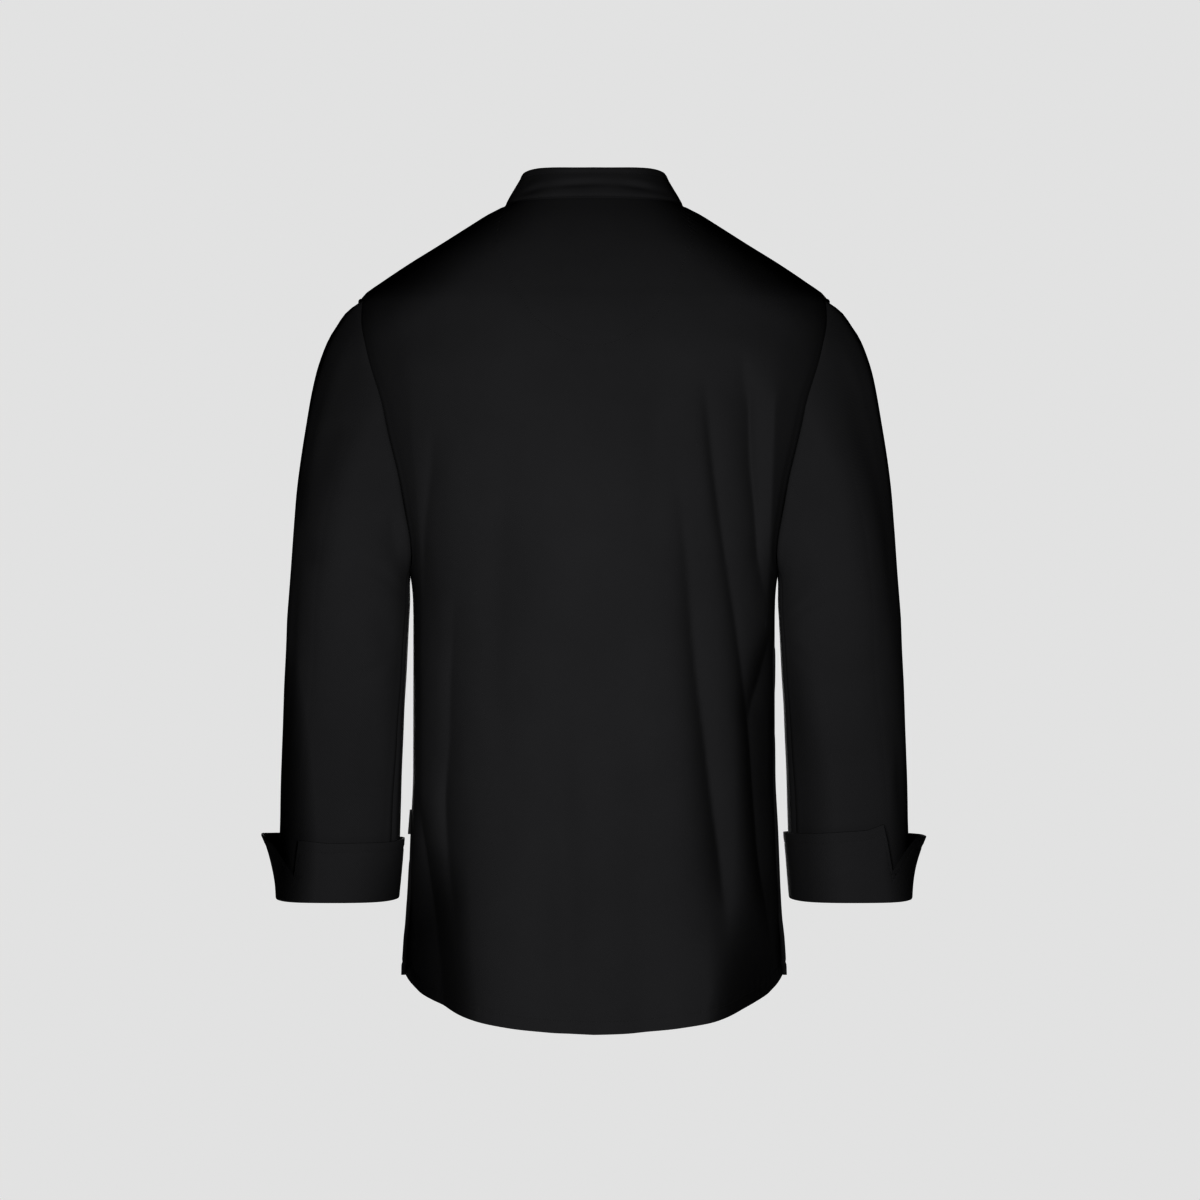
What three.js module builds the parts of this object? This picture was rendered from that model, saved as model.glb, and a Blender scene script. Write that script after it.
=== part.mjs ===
// A long-sleeved chef jacket worn by nobody, standing as cloth walls round an empty body.
// Millimetres, +Z up. The front faces -Y, the wearer's left is +X, and the origin is midway
// between the two side neck points. "down" is the distance below the origin and "turn" is the
// angle round the body, 0 at centre back, 90 at the wearer's left side, 180 at centre front.
import * as THREE from "three";

const CLOTH = 1.4;
const COLLAR_CLOTH = 2.4;
const EDGE_SETBACK = 0.2;
const SHOULDER_TURN = 78;
const SHOULDER_DOWN = 89;
const UNDERARM_DOWN = 345;
const SIDE_HEM_DOWN = 722;
const OVERLAP_X = 95;
const OVERLAP_LIFT = 3.0;
const CAP_END_DOWN = 384;
const SLEEVE_END_DOWN = 649.4;
const CUFF_FOLD_DOWN = 653.5;
const CUFF_CLEAR = 2.5;
const COLLAR_HEIGHT = 33;
const COLLAR_END_TURN = 177;
const BUTTON_RADIUS = 9.5;
const BUTTON_ROWS = [118, 214, 310, 406, 502];
const BUTTON_X = 74;
const LABEL = { top: 567, bottom: 590, out: 4.2, thick: 1.6 };

const SHOULDER_STEPS = 6;
const ARMHOLE_STEPS = 12;
const SIDE_STEPS = 14;
const BACK_COLUMNS = 30;
const FRONT_COLUMNS = 17;
const CAP_RINGS = 8;
const ARM_RINGS = 10;

const rad = (degrees) => (degrees * Math.PI) / 180;
const mix = (a, b, t) => a + (b - a) * t;
const clamp01 = (t) => Math.min(1, Math.max(0, t));
const smooth = (t) => clamp01(t) ** 2 * (3 - 2 * clamp01(t));
const signedPower = (v, p) => Math.sign(v) * Math.abs(v) ** p;

function columns(names, rows) {
  return Object.fromEntries(names.map((name, i) => [name, rows.map((row) => row[i])]));
}

// Reads a column at a key, by a smooth curve that never swings past the values given.
function read(table, key, name, at) {
  const k = table[key];
  const v = table[name];
  const last = k.length - 1;
  if (at <= k[0]) return v[0];
  if (at >= k[last]) return v[last];
  let i = 0;
  while (at > k[i + 1]) i++;
  const rise = (j) => (v[j + 1] - v[j]) / (k[j + 1] - k[j]);
  const slope = (j) => {
    if (j === 0) return rise(0);
    if (j === last) return rise(last - 1);
    const a = rise(j - 1);
    const b = rise(j);
    if (a * b <= 0) return 0;
    const before = k[j] - k[j - 1];
    const after = k[j + 1] - k[j];
    const wa = 2 * after + before;
    const wb = after + 2 * before;
    return (wa + wb) / (wa / a + wb / b);
  };
  const h = k[i + 1] - k[i];
  const t = (at - k[i]) / h;
  const t2 = t * t;
  const t3 = t2 * t;
  return (
    (2 * t3 - 3 * t2 + 1) * v[i] +
    (t3 - 2 * t2 + t) * h * slope(i) +
    (3 * t2 - 2 * t3) * v[i + 1] +
    (t3 - t2) * h * slope(i + 1)
  );
}

// The body, by level sections. Between shoulder and underarm the half width is what the
// section would have if the armhole weren't cut out of it.
const TORSO = columns(
  ["down", "half_width", "back_depth", "front_depth", "squareness"],
  [
    [-8, 71, 51, 30, 2.2],
    [0, 83, 58, 36, 2.2],
    [8.5, 99.6, 65.5, 42, 2.2],
    [18, 114.7, 73, 50, 2.25],
    [37, 144.5, 85, 65, 2.3],
    [55.5, 174.4, 94, 77, 2.3],
    [74, 202, 101.5, 87, 2.3],
    [84, 215.7, 105, 91, 2.3],
    [92, 220.5, 108, 95, 2.3],
    [108, 221.5, 112.5, 101, 2.3],
    [134, 219.5, 118, 109, 2.3],
    [196, 211, 127, 120, 2.3],
    [250, 198, 131, 125, 2.3],
    [296, 185, 131.5, 127, 2.3],
    [320, 178, 131, 127, 2.3],
    [345, 172.5, 130, 126, 2.3],
    [357, 170.6, 129.5, 126, 2.3],
    [370, 169.6, 129, 125, 2.3],
    [390, 169.2, 128.5, 125, 2.3],
    [530, 169.4, 128, 124, 2.3],
    [590, 172, 128, 124, 2.3],
    [640, 174, 129, 124, 2.3],
    [672, 175.8, 129.5, 124, 2.3],
    [690, 177.6, 130, 124, 2.3],
    [722, 179, 130.5, 124, 2.3],
    [780, 180, 131, 124, 2.3],
  ],
);

// Seam of the armhole. The front column is the angle from centre front.
const ARMHOLE = columns(
  ["down", "back_turn", "front_turn"],
  [
    [89, 78, 78],
    [108, 78.3, 75.5],
    [134, 75, 67.6],
    [196, 66.3, 60],
    [250, 66, 60.5],
    [296, 69, 65],
    [325, 73.5, 71],
    [338, 78.5, 78],
    [345, 90, 90],
  ],
);

const NECKLINE = columns(
  ["turn", "down"],
  [
    [0, -3],
    [45, -2],
    [78, 0],
    [100, 2],
    [124, 6.5],
    [138, 15],
    [150, 27],
    [160, 41],
    [168, 58],
    [175, 74],
    [180, 82],
    [205, 76],
  ],
);

const BACK_HEM = columns(
  ["x", "down"],
  [
    [0, 766],
    [32, 765],
    [49, 763.5],
    [68, 761.8],
    [86, 759.6],
    [104, 757],
    [123, 752.8],
    [141, 746.6],
    [155, 741],
    [161, 737.9],
    [166, 734],
    [172, 729],
    [179, 722],
  ],
);

// Long soft folds of the cloth, as a line down the piece. Depth below the surface is positive,
// and a ridge is negative. "width" is the half width of the fold.
const BACK_FOLDS = [
  { width: 17, depth: 5.5, line: columns(["down", "x"], [[181, -130], [247, -142], [329, -151], [357, -156]]) },
  { width: 15, depth: 3.4, line: columns(["down", "x"], [[279, -80], [398, -89], [512, -104], [630, -121]]) },
  { width: 13, depth: -3.0, line: columns(["down", "x"], [[279, -97], [407, -108], [553, -127], [626, -138]]) },
  { width: 15, depth: 3.0, line: columns(["down", "x"], [[398, -152], [472, -156], [600, -164]]) },
  { width: 22, depth: 4.0, line: columns(["down", "x"], [[690, -136], [721, -133], [760, -131]]) },
  { width: 20, depth: 3.6, line: columns(["down", "x"], [[388, 129], [475, 129], [573, 131], [648, 138], [760, 131]]) },
  { width: 15, depth: 3.8, line: columns(["down", "x"], [[262, 152], [330, 158], [372, 158]]) },
  { width: 30, depth: 1.6, line: columns(["down", "x"], [[420, 34], [600, 38], [760, 30]]) },
  { width: 30, depth: 1.6, line: columns(["down", "x"], [[450, -42], [620, -46], [760, -40]]) },
];

const FRONT_FOLDS = [
  { width: 17, depth: 4.5, line: columns(["down", "x"], [[190, 138], [260, 146], [350, 150]]) },
  { width: 17, depth: 4.2, line: columns(["down", "x"], [[185, -136], [262, -146], [352, -152]]) },
  { width: 20, depth: 3.0, line: columns(["down", "x"], [[400, 128], [560, 132], [722, 138]]) },
  { width: 20, depth: 3.0, line: columns(["down", "x"], [[380, -130], [540, -134], [722, -130]]) },
];

function foldDepth(folds, x, down) {
  let total = 0;
  for (const { line, width, depth } of folds) {
    const first = line.down[0];
    const last = line.down[line.down.length - 1];
    const fade = smooth((down - first + 55) / 60) * smooth((last + 55 - down) / 60);
    if (fade > 0) {
      const off = (x - read(line, "down", "x", down)) / width;
      total += depth * fade * Math.exp(-off * off);
    }
  }
  return total;
}

function section(down) {
  const at = (name) => read(TORSO, "down", name, down);
  return {
    halfWidth: at("half_width"),
    back: at("back_depth"),
    front: at("front_depth"),
    power: 2 / at("squareness"),
  };
}

function bareTorso(turn, down) {
  const s = section(down);
  const sin = Math.sin(rad(turn));
  const cos = Math.cos(rad(turn));
  return new THREE.Vector3(
    s.halfWidth * signedPower(sin, s.power),
    (cos > 0 ? s.back : s.front) * signedPower(cos, s.power),
    -down,
  );
}

function torsoNormal(turn, down) {
  const round = bareTorso(turn + 1.2, down).sub(bareTorso(turn - 1.2, down));
  const along = bareTorso(turn, down + 7).sub(bareTorso(turn, down - 7));
  const n = round.cross(along).normalize();
  const p = bareTorso(turn, down);
  return n.x * p.x + n.y * p.y < 0 ? n.negate() : n;
}

function torso(turn, down, lift = 0) {
  const p = bareTorso(turn, down);
  const back = Math.abs(turn) < 90;
  const seam = Math.abs(Math.abs(turn) - 90);
  const away = smooth(seam / 14) * smooth((down - 120) / 60);
  const folds = back ? BACK_FOLDS : FRONT_FOLDS;
  const depth = away > 0 ? foldDepth(folds, p.x, down) * away : 0;
  return p.addScaledVector(torsoNormal(turn, down), lift - depth);
}

function turnAtX(x, down) {
  const s = section(down);
  const degrees = (Math.asin(clamp01(Math.abs(x) / s.halfWidth) ** (1 / s.power)) * 180) / Math.PI;
  return Math.sign(x) * degrees;
}

// Evenly spaced stops along a seam, each with the turn and the distance down.
function stops(seam, steps) {
  const fine = 240;
  const line = Array.from({ length: fine + 1 }, (_, i) => seam(i / fine));
  const lengths = [0];
  for (let i = 1; i <= fine; i++) {
    const a = bareTorso(line[i - 1].turn, line[i - 1].down);
    const b = bareTorso(line[i].turn, line[i].down);
    lengths.push(lengths[i - 1] + a.distanceTo(b));
  }
  const out = [];
  let j = 0;
  for (let i = 0; i <= steps; i++) {
    const want = (lengths[fine] * i) / steps;
    while (j < fine - 1 && lengths[j + 1] < want) j++;
    const t = clamp01((want - lengths[j]) / (lengths[j + 1] - lengths[j]));
    out.push({
      turn: mix(line[j].turn, line[j + 1].turn, t),
      down: mix(line[j].down, line[j + 1].down, t),
    });
  }
  return out;
}

const armholeDown = (t, top) => mix(top, UNDERARM_DOWN, Math.sin((t * Math.PI) / 2) ** 0.9);
const backArmhole = stops((t) => {
  const down = armholeDown(t, SHOULDER_DOWN);
  return { down, turn: read(ARMHOLE, "down", "back_turn", down) };
}, ARMHOLE_STEPS);
const frontArmhole = stops((t) => {
  const down = armholeDown(t, SHOULDER_DOWN + 6);
  return { down, turn: 180 - read(ARMHOLE, "down", "front_turn", down) };
}, ARMHOLE_STEPS);
const shoulderSeam = stops((t) => ({ turn: SHOULDER_TURN, down: SHOULDER_DOWN * t }), SHOULDER_STEPS);
const sideSeam = stops((t) => ({ turn: 90, down: mix(UNDERARM_DOWN, SIDE_HEM_DOWN, t) }), SIDE_STEPS);
const ridge = { turn: 90, down: SHOULDER_DOWN + 2 };

const backEdge = [...shoulderSeam, ...backArmhole.slice(1), ...sideSeam.slice(1)];
// Over the shoulder the rows run along the armhole, so the front stops a little above it there.
const raised = ({ turn, down }) => ({ turn, down: down - 1.1 });
const frontEdge = [
  ...shoulderSeam,
  raised(ridge),
  raised(frontArmhole[0]),
  ...frontArmhole.slice(1),
  ...sideSeam.slice(1),
];

function edgeShares(edge) {
  const lengths = [0];
  for (let i = 1; i < edge.length; i++) {
    const a = bareTorso(edge[i - 1].turn, edge[i - 1].down);
    const b = bareTorso(edge[i].turn, edge[i].down);
    lengths.push(lengths[i - 1] + a.distanceTo(b));
  }
  return lengths.map((l) => l / lengths[lengths.length - 1]);
}

// A wall between an outer grid of points and the same grid set in along its normals.
// The grid is rows of points. A closed wall joins its last column to its first.
function wall(outer, inner, closed = false) {
  const rows = outer.length;
  const cols = outer[0].length;
  const position = [];
  const index = [];
  for (const grid of [outer, inner]) {
    for (const row of grid) for (const p of row) position.push(p.x, p.y, p.z);
  }
  const base = rows * cols;
  const id = (layer, i, j) => layer * base + i * cols + (j % cols);
  const quad = (a, b, c, d) => index.push(a, b, c, a, c, d);
  const span = closed ? cols : cols - 1;
  for (let i = 0; i < rows - 1; i++) {
    for (let j = 0; j < span; j++) {
      quad(id(0, i, j), id(0, i, j + 1), id(0, i + 1, j + 1), id(0, i + 1, j));
      quad(id(1, i, j), id(1, i + 1, j), id(1, i + 1, j + 1), id(1, i, j + 1));
    }
  }
  for (let j = 0; j < span; j++) {
    quad(id(0, 0, j), id(1, 0, j), id(1, 0, j + 1), id(0, 0, j + 1));
    quad(id(0, rows - 1, j), id(0, rows - 1, j + 1), id(1, rows - 1, j + 1), id(1, rows - 1, j));
  }
  if (!closed) {
    for (let i = 0; i < rows - 1; i++) {
      quad(id(0, i, 0), id(0, i + 1, 0), id(1, i + 1, 0), id(1, i, 0));
      quad(id(0, i, cols - 1), id(1, i, cols - 1), id(1, i + 1, cols - 1), id(0, i + 1, cols - 1));
    }
  }
  const geometry = new THREE.BufferGeometry();
  geometry.setAttribute("position", new THREE.Float32BufferAttribute(position, 3));
  geometry.setIndex(index);
  return facingOut(geometry);
}

function facingOut(geometry) {
  const p = geometry.getAttribute("position");
  const index = geometry.index.array;
  const [a, b, c] = [new THREE.Vector3(), new THREE.Vector3(), new THREE.Vector3()];
  let volume = 0;
  for (let i = 0; i < index.length; i += 3) {
    a.fromBufferAttribute(p, index[i]);
    b.fromBufferAttribute(p, index[i + 1]);
    c.fromBufferAttribute(p, index[i + 2]);
    volume += a.dot(b.cross(c));
  }
  if (volume < 0) {
    for (let i = 0; i < index.length; i += 3) [index[i], index[i + 1]] = [index[i + 1], index[i]];
  }
  geometry.computeVertexNormals();
  return geometry;
}

// Moves the outermost points of a grid in, so that the cloth ends short of its seams.
function setBack(grid, amount = EDGE_SETBACK, rowsToo = true) {
  const toward = (p, q) => p.addScaledVector(q.clone().sub(p).normalize(), amount);
  for (const row of grid) {
    toward(row[0], row[1]);
    toward(row[row.length - 1], row[row.length - 2]);
  }
  if (rowsToo) grid[0].forEach((p, j) => toward(p, grid[1][j]));
  return grid;
}

const cloth = new THREE.MeshStandardMaterial({ color: 0x1d1d1e, roughness: 0.9, metalness: 0 });
const darkTape = new THREE.MeshStandardMaterial({ color: 0x141415, roughness: 0.85, metalness: 0 });
const buttonBlack = new THREE.MeshStandardMaterial({ color: 0x0d0d0e, roughness: 0.45, metalness: 0 });

const jacket = new THREE.Group();
jacket.name = "chef_jacket";

function add(name, geometry, material = cloth) {
  const mesh = new THREE.Mesh(geometry, material);
  mesh.name = name;
  jacket.add(mesh);
  return mesh;
}

function panel(name, domain, liftAt) {
  const outer = domain.map((row) => row.map(({ turn, down }) => torso(turn, down, liftAt(turn, down))));
  setBack(outer);
  const inner = outer.map((row, i) =>
    row.map((p, j) => {
      const { turn, down } = domain[i][j];
      return p.clone().addScaledVector(torsoNormal(turn, down), -CLOTH);
    }),
  );
  add(name, wall(outer, inner));
}

function backPanel() {
  const shares = edgeShares(backEdge);
  const domain = backEdge.map((edge, i) =>
    Array.from({ length: BACK_COLUMNS + 1 }, (_, j) => {
      const across = mix(1, -1, j / BACK_COLUMNS);
      const turn = edge.turn * across;
      const rise = read(NECKLINE, "turn", "down", Math.abs(SHOULDER_TURN * across));
      const x = Math.abs(bareTorso(90 * across, SIDE_HEM_DOWN).x);
      const drop = read(BACK_HEM, "x", "down", x) - SIDE_HEM_DOWN;
      return { turn, down: edge.down + rise * (1 - shares[i]) ** 6 + drop * shares[i] ** 5 };
    }),
  );
  panel("back", domain, () => 0);
}

function frontPanel(name, side) {
  const shares = edgeShares(frontEdge);
  const topTurn = 180 + turnAtX(OVERLAP_X, 76);
  const neckAt = (turn) => read(NECKLINE, "turn", "down", turn);
  const spread = (turn) => clamp01((turn - SHOULDER_TURN) / (topTurn - SHOULDER_TURN)) ** 1.7;
  const domain = frontEdge.map((edge, i) =>
    Array.from({ length: FRONT_COLUMNS + 1 }, (_, j) => {
      const across = j / FRONT_COLUMNS;
      const share = shares[i];
      const frontDown = mix(neckAt(topTurn), SIDE_HEM_DOWN + 1, share);
      const near = mix(edge.turn, topTurn, across);
      const passed = (spread(near) - spread(edge.turn)) / (1 - spread(edge.turn));
      const scoop = neckAt(mix(SHOULDER_TURN, topTurn, across)) - mix(0, neckAt(topTurn), spread(mix(SHOULDER_TURN, topTurn, across)));
      const down = mix(edge.down, frontDown, passed) + scoop * (1 - share) ** 5;
      const frontTurn = 180 + turnAtX(OVERLAP_X, Math.max(down, 76));
      return { turn: side * mix(edge.turn, frontTurn, across), down };
    }),
  );
  const lift = (turn, down) => {
    if (side < 0) return 0;
    const x = bareTorso(turn, down).x;
    return turn > 90 ? OVERLAP_LIFT * smooth((134 - x) / 30) : 0;
  };
  panel(name, domain, lift);
}

// The neck seam, used by the collar that stands on it.
const neckPoint = (turn) => bareTorso(turn, read(NECKLINE, "turn", "down", Math.abs(turn)));

const COLLAR_LEAN = columns(["height", "inward"], [[0, 0], [9, 3.4], [17, 7], [24, 10], [29, 11.6], [33, 13]]);

function collarPoint(turn, height, setIn) {
  const p = neckPoint(turn);
  const along = neckPoint(turn + 1.5).sub(neckPoint(turn - 1.5)).normalize();
  const inward = new THREE.Vector3(-p.x, -12 - p.y, 0);
  inward.addScaledVector(along, -inward.dot(along)).setZ(0).normalize();
  const up = new THREE.Vector3(0, 0, 1);
  up.addScaledVector(along, -up.dot(along) * 0.6).normalize();
  const end = smooth((COLLAR_END_TURN + 1 - Math.abs(turn)) / 7);
  const reach = height * mix(0.62, 1, end);
  const lean = read(COLLAR_LEAN, "height", "inward", reach);
  p.addScaledVector(up, mix(0.5, 2.4, smooth((Math.abs(turn) - 135) / 20)) + reach * 0.97);
  return p.addScaledVector(inward, lean * mix(1, 1.25, smooth((Math.abs(turn) - 100) / 60)) + setIn);
}

function collar() {
  const count = 44;
  const heights = [0, 9, 20, 28, 32, COLLAR_HEIGHT];
  const round = [0, 0, 0, 0, 0.35, 1.1];
  const turns = Array.from({ length: count + 1 }, (_, j) => {
    const t = mix(1, -1, j / count);
    return COLLAR_END_TURN * Math.sign(t) * Math.abs(t) ** 0.92;
  });
  const outer = heights.map((h, i) => turns.map((turn) => collarPoint(turn, h, round[i])));
  const inner = heights.map((h, i) =>
    turns.map((turn) => collarPoint(turn, h, COLLAR_CLOTH - round[i] * 0.6)),
  );
  add("collar", wall(outer, inner));
}

// The arm as an upright tube. "way" is the angle round it, 0 at the outside, 90 at the back,
// 180 at the body and 270 at the front.
const SLEEVE = columns(
  ["down", "outer_x", "inner_x", "half_depth", "middle_y"],
  [
    [91, 220.5, 172, 60, 0],
    [95, 227, 172, 61, 0],
    [102.5, 235.5, 172, 63, 0],
    [112, 242, 172, 64, 0],
    [121, 248, 172, 65, 0],
    [131, 253, 172, 66, 0],
    [154, 261, 172, 67, 0],
    [178, 266, 172, 68, 0],
    [201, 270, 172, 69, 0],
    [248, 277, 172, 69, 1],
    [295, 281.5, 172.2, 69, 1],
    [345, 285, 173.2, 68, 1],
    [370, 286.6, 173, 66, 1],
    [389, 288, 173.8, 65, 0],
    [436, 290, 176.3, 60, -3],
    [483, 292.3, 179, 55, -7],
    [530, 294.2, 181, 50, -12],
    [568, 295.6, 182.6, 46.5, -16],
    [595, 296.4, 183.4, 44.5, -19],
    [655, 298, 187, 42.5, -24],
  ],
);

// Where the two sleeve seams run, as ways round the tube.
const SLEEVE_SEAMS = columns(
  ["down", "elbow", "inseam"],
  [
    [120, 0, 0],
    [345, 0, 0],
    [413, 1, -2],
    [568, -9, -12],
    [655, -13, -15],
  ],
);

function armLoop(side) {
  const rise = [ridge, ...backArmhole];
  const fall = [ridge, ...frontArmhole];
  const points = [];
  const measure = (list, from, to) => {
    const at = list.map(({ turn, down }) => bareTorso(turn, down));
    const lengths = [0];
    for (let i = 1; i < at.length; i++) lengths.push(lengths[i - 1] + at[i].distanceTo(at[i - 1]));
    const total = lengths[lengths.length - 1];
    return at.map((p, i) => ({ p, stop: list[i], way: mix(from, to, lengths[i] / total) }));
  };
  points.push(...measure(rise, 0, 180));
  points.push(...measure(fall, 360, 180).reverse().slice(1, -1));
  return points.map(({ p, stop, way }) => {
    const n = torsoNormal(stop.turn, stop.down);
    return { way, down: stop.down, p: p.setX(p.x * side), n: n.setX(n.x * side) };
  });
}

function tube(side, way, down, clear = 0) {
  const at = (name) => read(SLEEVE, "down", name, down);
  const middle = (at("outer_x") + at("inner_x")) / 2;
  const half = (at("outer_x") - at("inner_x")) / 2;
  const depth = at("half_depth");
  const cos = Math.cos(rad(way));
  const sin = Math.sin(rad(way));
  const p = new THREE.Vector3(middle + half * signedPower(cos, 0.94), 0, -down);
  p.y = at("middle_y") + depth * signedPower(sin, 0.94);
  const n = new THREE.Vector3(cos / half, sin / depth, 0).normalize();
  p.addScaledVector(n, clear);
  p.x *= side;
  return p;
}

const ARM_FOLDS = [
  { way: 60, down: 212, spread: 26, height: 17, depth: 3.0 },
  { way: 66, down: 326, spread: 30, height: 15, depth: 2.4 },
  { way: 128, down: 322, spread: 24, height: 34, depth: 3.4 },
  { way: 140, down: 402, spread: 20, height: 26, depth: 2.6 },
  { way: 300, down: 300, spread: 34, height: 18, depth: 3.2 },
  { way: 250, down: 344, spread: 30, height: 16, depth: 2.8 },
  { way: 285, down: 430, spread: 30, height: 20, depth: 2.0 },
];

function armPoint(side, spot, share) {
  const down = mix(spot.down, CAP_END_DOWN, share);
  const rest = (1 - share) ** mix(5.5, 2.2, smooth((Math.abs(spot.way - 180) - 15) / 40));
  const start = tube(side, spot.way, spot.down);
  const p = tube(side, spot.way, down);
  return p.addScaledVector(spot.p.clone().sub(start), rest);
}

function loweredWay(way, down) {
  const elbow = read(SLEEVE_SEAMS, "down", "elbow", down);
  const inseam = read(SLEEVE_SEAMS, "down", "inseam", down);
  const stopsAt = [[0, 0], [63, elbow], [172, inseam], [250, 0], [360, 0]];
  let i = 0;
  while (i < 3 && way > stopsAt[i + 1][0]) i++;
  const t = (way - stopsAt[i][0]) / (stopsAt[i + 1][0] - stopsAt[i][0]);
  return way + mix(stopsAt[i][1], stopsAt[i + 1][1], smooth(t));
}

function sleeveGrid(side) {
  const loop = armLoop(side);
  const rings = [];
  for (let i = 0; i <= CAP_RINGS; i++) rings.push(loop.map((spot) => armPoint(side, spot, i / CAP_RINGS)));
  for (let i = 1; i <= ARM_RINGS; i++) {
    const down = mix(CAP_END_DOWN, SLEEVE_END_DOWN, i / ARM_RINGS);
    rings.push(loop.map((spot) => tube(side, loweredWay(spot.way, down), down)));
  }
  const cols = loop.length;
  const normalAt = (grid, i, j) => {
    const up = grid[Math.max(i - 1, 0)][j];
    const low = grid[Math.min(i + 1, grid.length - 1)][j];
    const left = grid[i][(j + cols - 1) % cols];
    const right = grid[i][(j + 1) % cols];
    const n = low.clone().sub(up).cross(right.clone().sub(left)).normalize();
    return n.multiplyScalar(side);
  };
  const folded = rings.map((ring, i) =>
    ring.map((p, j) => {
      if (i === 0) return p;
      const down = -p.z;
      const way = loop[j].way;
      let depth = 0;
      for (const f of ARM_FOLDS) {
        const a = (way - f.way) / f.spread;
        const b = (down - f.down - (way - f.way) * 0.35) / f.height;
        depth += f.depth * Math.exp(-a * a - b * b);
      }
      const fade = smooth(i / 3) * smooth((600 - down) / 40);
      return p.clone().addScaledVector(normalAt(rings, i, j), -depth * fade);
    }),
  );
  const normals = folded.map((ring, i) => ring.map((_, j) => normalAt(folded, i, j)));
  loop.forEach((spot, j) => {
    const along = loop[(j + 1) % cols].p.clone().sub(loop[(j + cols - 1) % cols].p).normalize();
    const away = along.clone().cross(spot.n).normalize();
    const step = folded[1][j].clone().sub(folded[0][j]);
    if (away.dot(step) < 0) away.negate();
    folded[0][j].addScaledVector(step.normalize(), 0.4);
    const n = normals[0][j];
    const lean = n.dot(away);
    if (lean > -0.15) n.addScaledVector(away, -lean - 0.15).normalize();
  });
  return { loop, folded, normals };
}

function sleeve(label, side) {
  const { loop, folded, normals } = sleeveGrid(side);
  const nearest = (way) =>
    loop.reduce((best, spot, j) => (Math.abs(spot.way - way) < Math.abs(loop[best].way - way) ? j : best), 0);
  const elbow = nearest(63);
  const inseam = nearest(166);
  const cols = loop.length;
  const strip = (from, to) => {
    const list = [];
    for (let j = from; j <= to; j++) list.push(j % cols);
    return list;
  };
  const pieces = {
    ["sleeve_" + label + "_under"]: strip(elbow, inseam),
    ["sleeve_" + label + "_top"]: strip(inseam, elbow + cols),
  };
  for (const [name, list] of Object.entries(pieces)) {
    const outer = folded.map((ring) => list.map((j) => ring[j].clone()));
    setBack(outer, EDGE_SETBACK, false);
    const inner = outer.map((ring, i) =>
      ring.map((p, k) => p.clone().addScaledVector(normals[i][list[k]], -CLOTH)),
    );
    add(name, wall(outer, inner));
  }
}

// The turned-back cuff: how far down its free edge is, with a V cut at the elbow seam.
const CUFF_EDGE = {
  left: columns(
    ["way", "down"],
    [[0, 590], [24, 598], [49, 629.5], [55, 594.5], [82, 597.4], [142, 597], [180, 594.5], [270, 595], [360, 590]],
  ),
  right: columns(
    ["way", "down"],
    [[0, 593], [24, 592], [51, 624], [61, 579.5], [76, 585], [120, 588.5], [180, 589], [270, 591], [360, 593]],
  ),
};
const CUFF_WAYS = [0, 7, 14, 24, 33, 41, 49, 55, 61, 68, 76, 82, 92, 102, 112, 122, 132, 142, 152, 162, 171, 180];

function straight(table, key, name, at) {
  const k = table[key];
  let i = 0;
  while (i < k.length - 2 && at > k[i + 1]) i++;
  return mix(table[name][i], table[name][i + 1], (at - k[i]) / (k[i + 1] - k[i]));
}

function cuffFlare(way, height) {
  const out = Math.max(0, Math.cos(rad(way * (way < 180 ? 1 : 1) - (way > 180 ? 360 : 0) + 8))) ** 3;
  return height * (1.8 + 13.5 * out * height);
}

function cuff(label, side) {
  const edge = CUFF_EDGE[label];
  const apex = edge.way[2];
  const ways = CUFF_WAYS.filter((w) => w !== 49 && w !== 51).concat([apex]);
  for (let w = 192; w < 356; w += 12) ways.push(w);
  ways.sort((a, b) => a - b);
  const outline = (way) => {
    const top = straight(edge, "way", "down", way);
    const fold = CUFF_FOLD_DOWN - 1.6 * Math.abs(Math.cos(rad(way))) ** 6;
    const tall = fold - 592;
    const at = (down) => CUFF_CLEAR + cuffFlare(way, clamp01((fold - down) / tall));
    const rows = [0.2, 0.5, 0.8, 1].map((t) => mix(fold - 2.2, top, t));
    const outer = [[fold, -CLOTH], [fold, 1.1], [fold - 2.2, CUFF_CLEAR], ...rows.map((d) => [d, at(d)])];
    const inner = [...rows].reverse().map((d) => [d, at(d) - CLOTH]);
    inner.push([fold - 2.6, CUFF_CLEAR - CLOTH], [fold - 1.5, 0.5], [fold - 1.5, -CLOTH]);
    return [...outer, ...inner].map(([down, clear]) => tube(side, way, down, clear));
  };
  const rings = ways.map(outline);
  const around = rings[0].length;
  const position = [];
  const index = [];
  for (const ring of rings) for (const p of ring) position.push(p.x, p.y, p.z);
  for (let i = 0; i < rings.length; i++) {
    for (let j = 0; j < around; j++) {
      const a = i * around + j;
      const b = i * around + ((j + 1) % around);
      const c = ((i + 1) % rings.length) * around + ((j + 1) % around);
      const d = ((i + 1) % rings.length) * around + j;
      index.push(a, b, c, a, c, d);
    }
  }
  const geometry = new THREE.BufferGeometry();
  geometry.setAttribute("position", new THREE.Float32BufferAttribute(position, 3));
  geometry.setIndex(index);
  add("cuff_" + label, facingOut(geometry));
}

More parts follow.
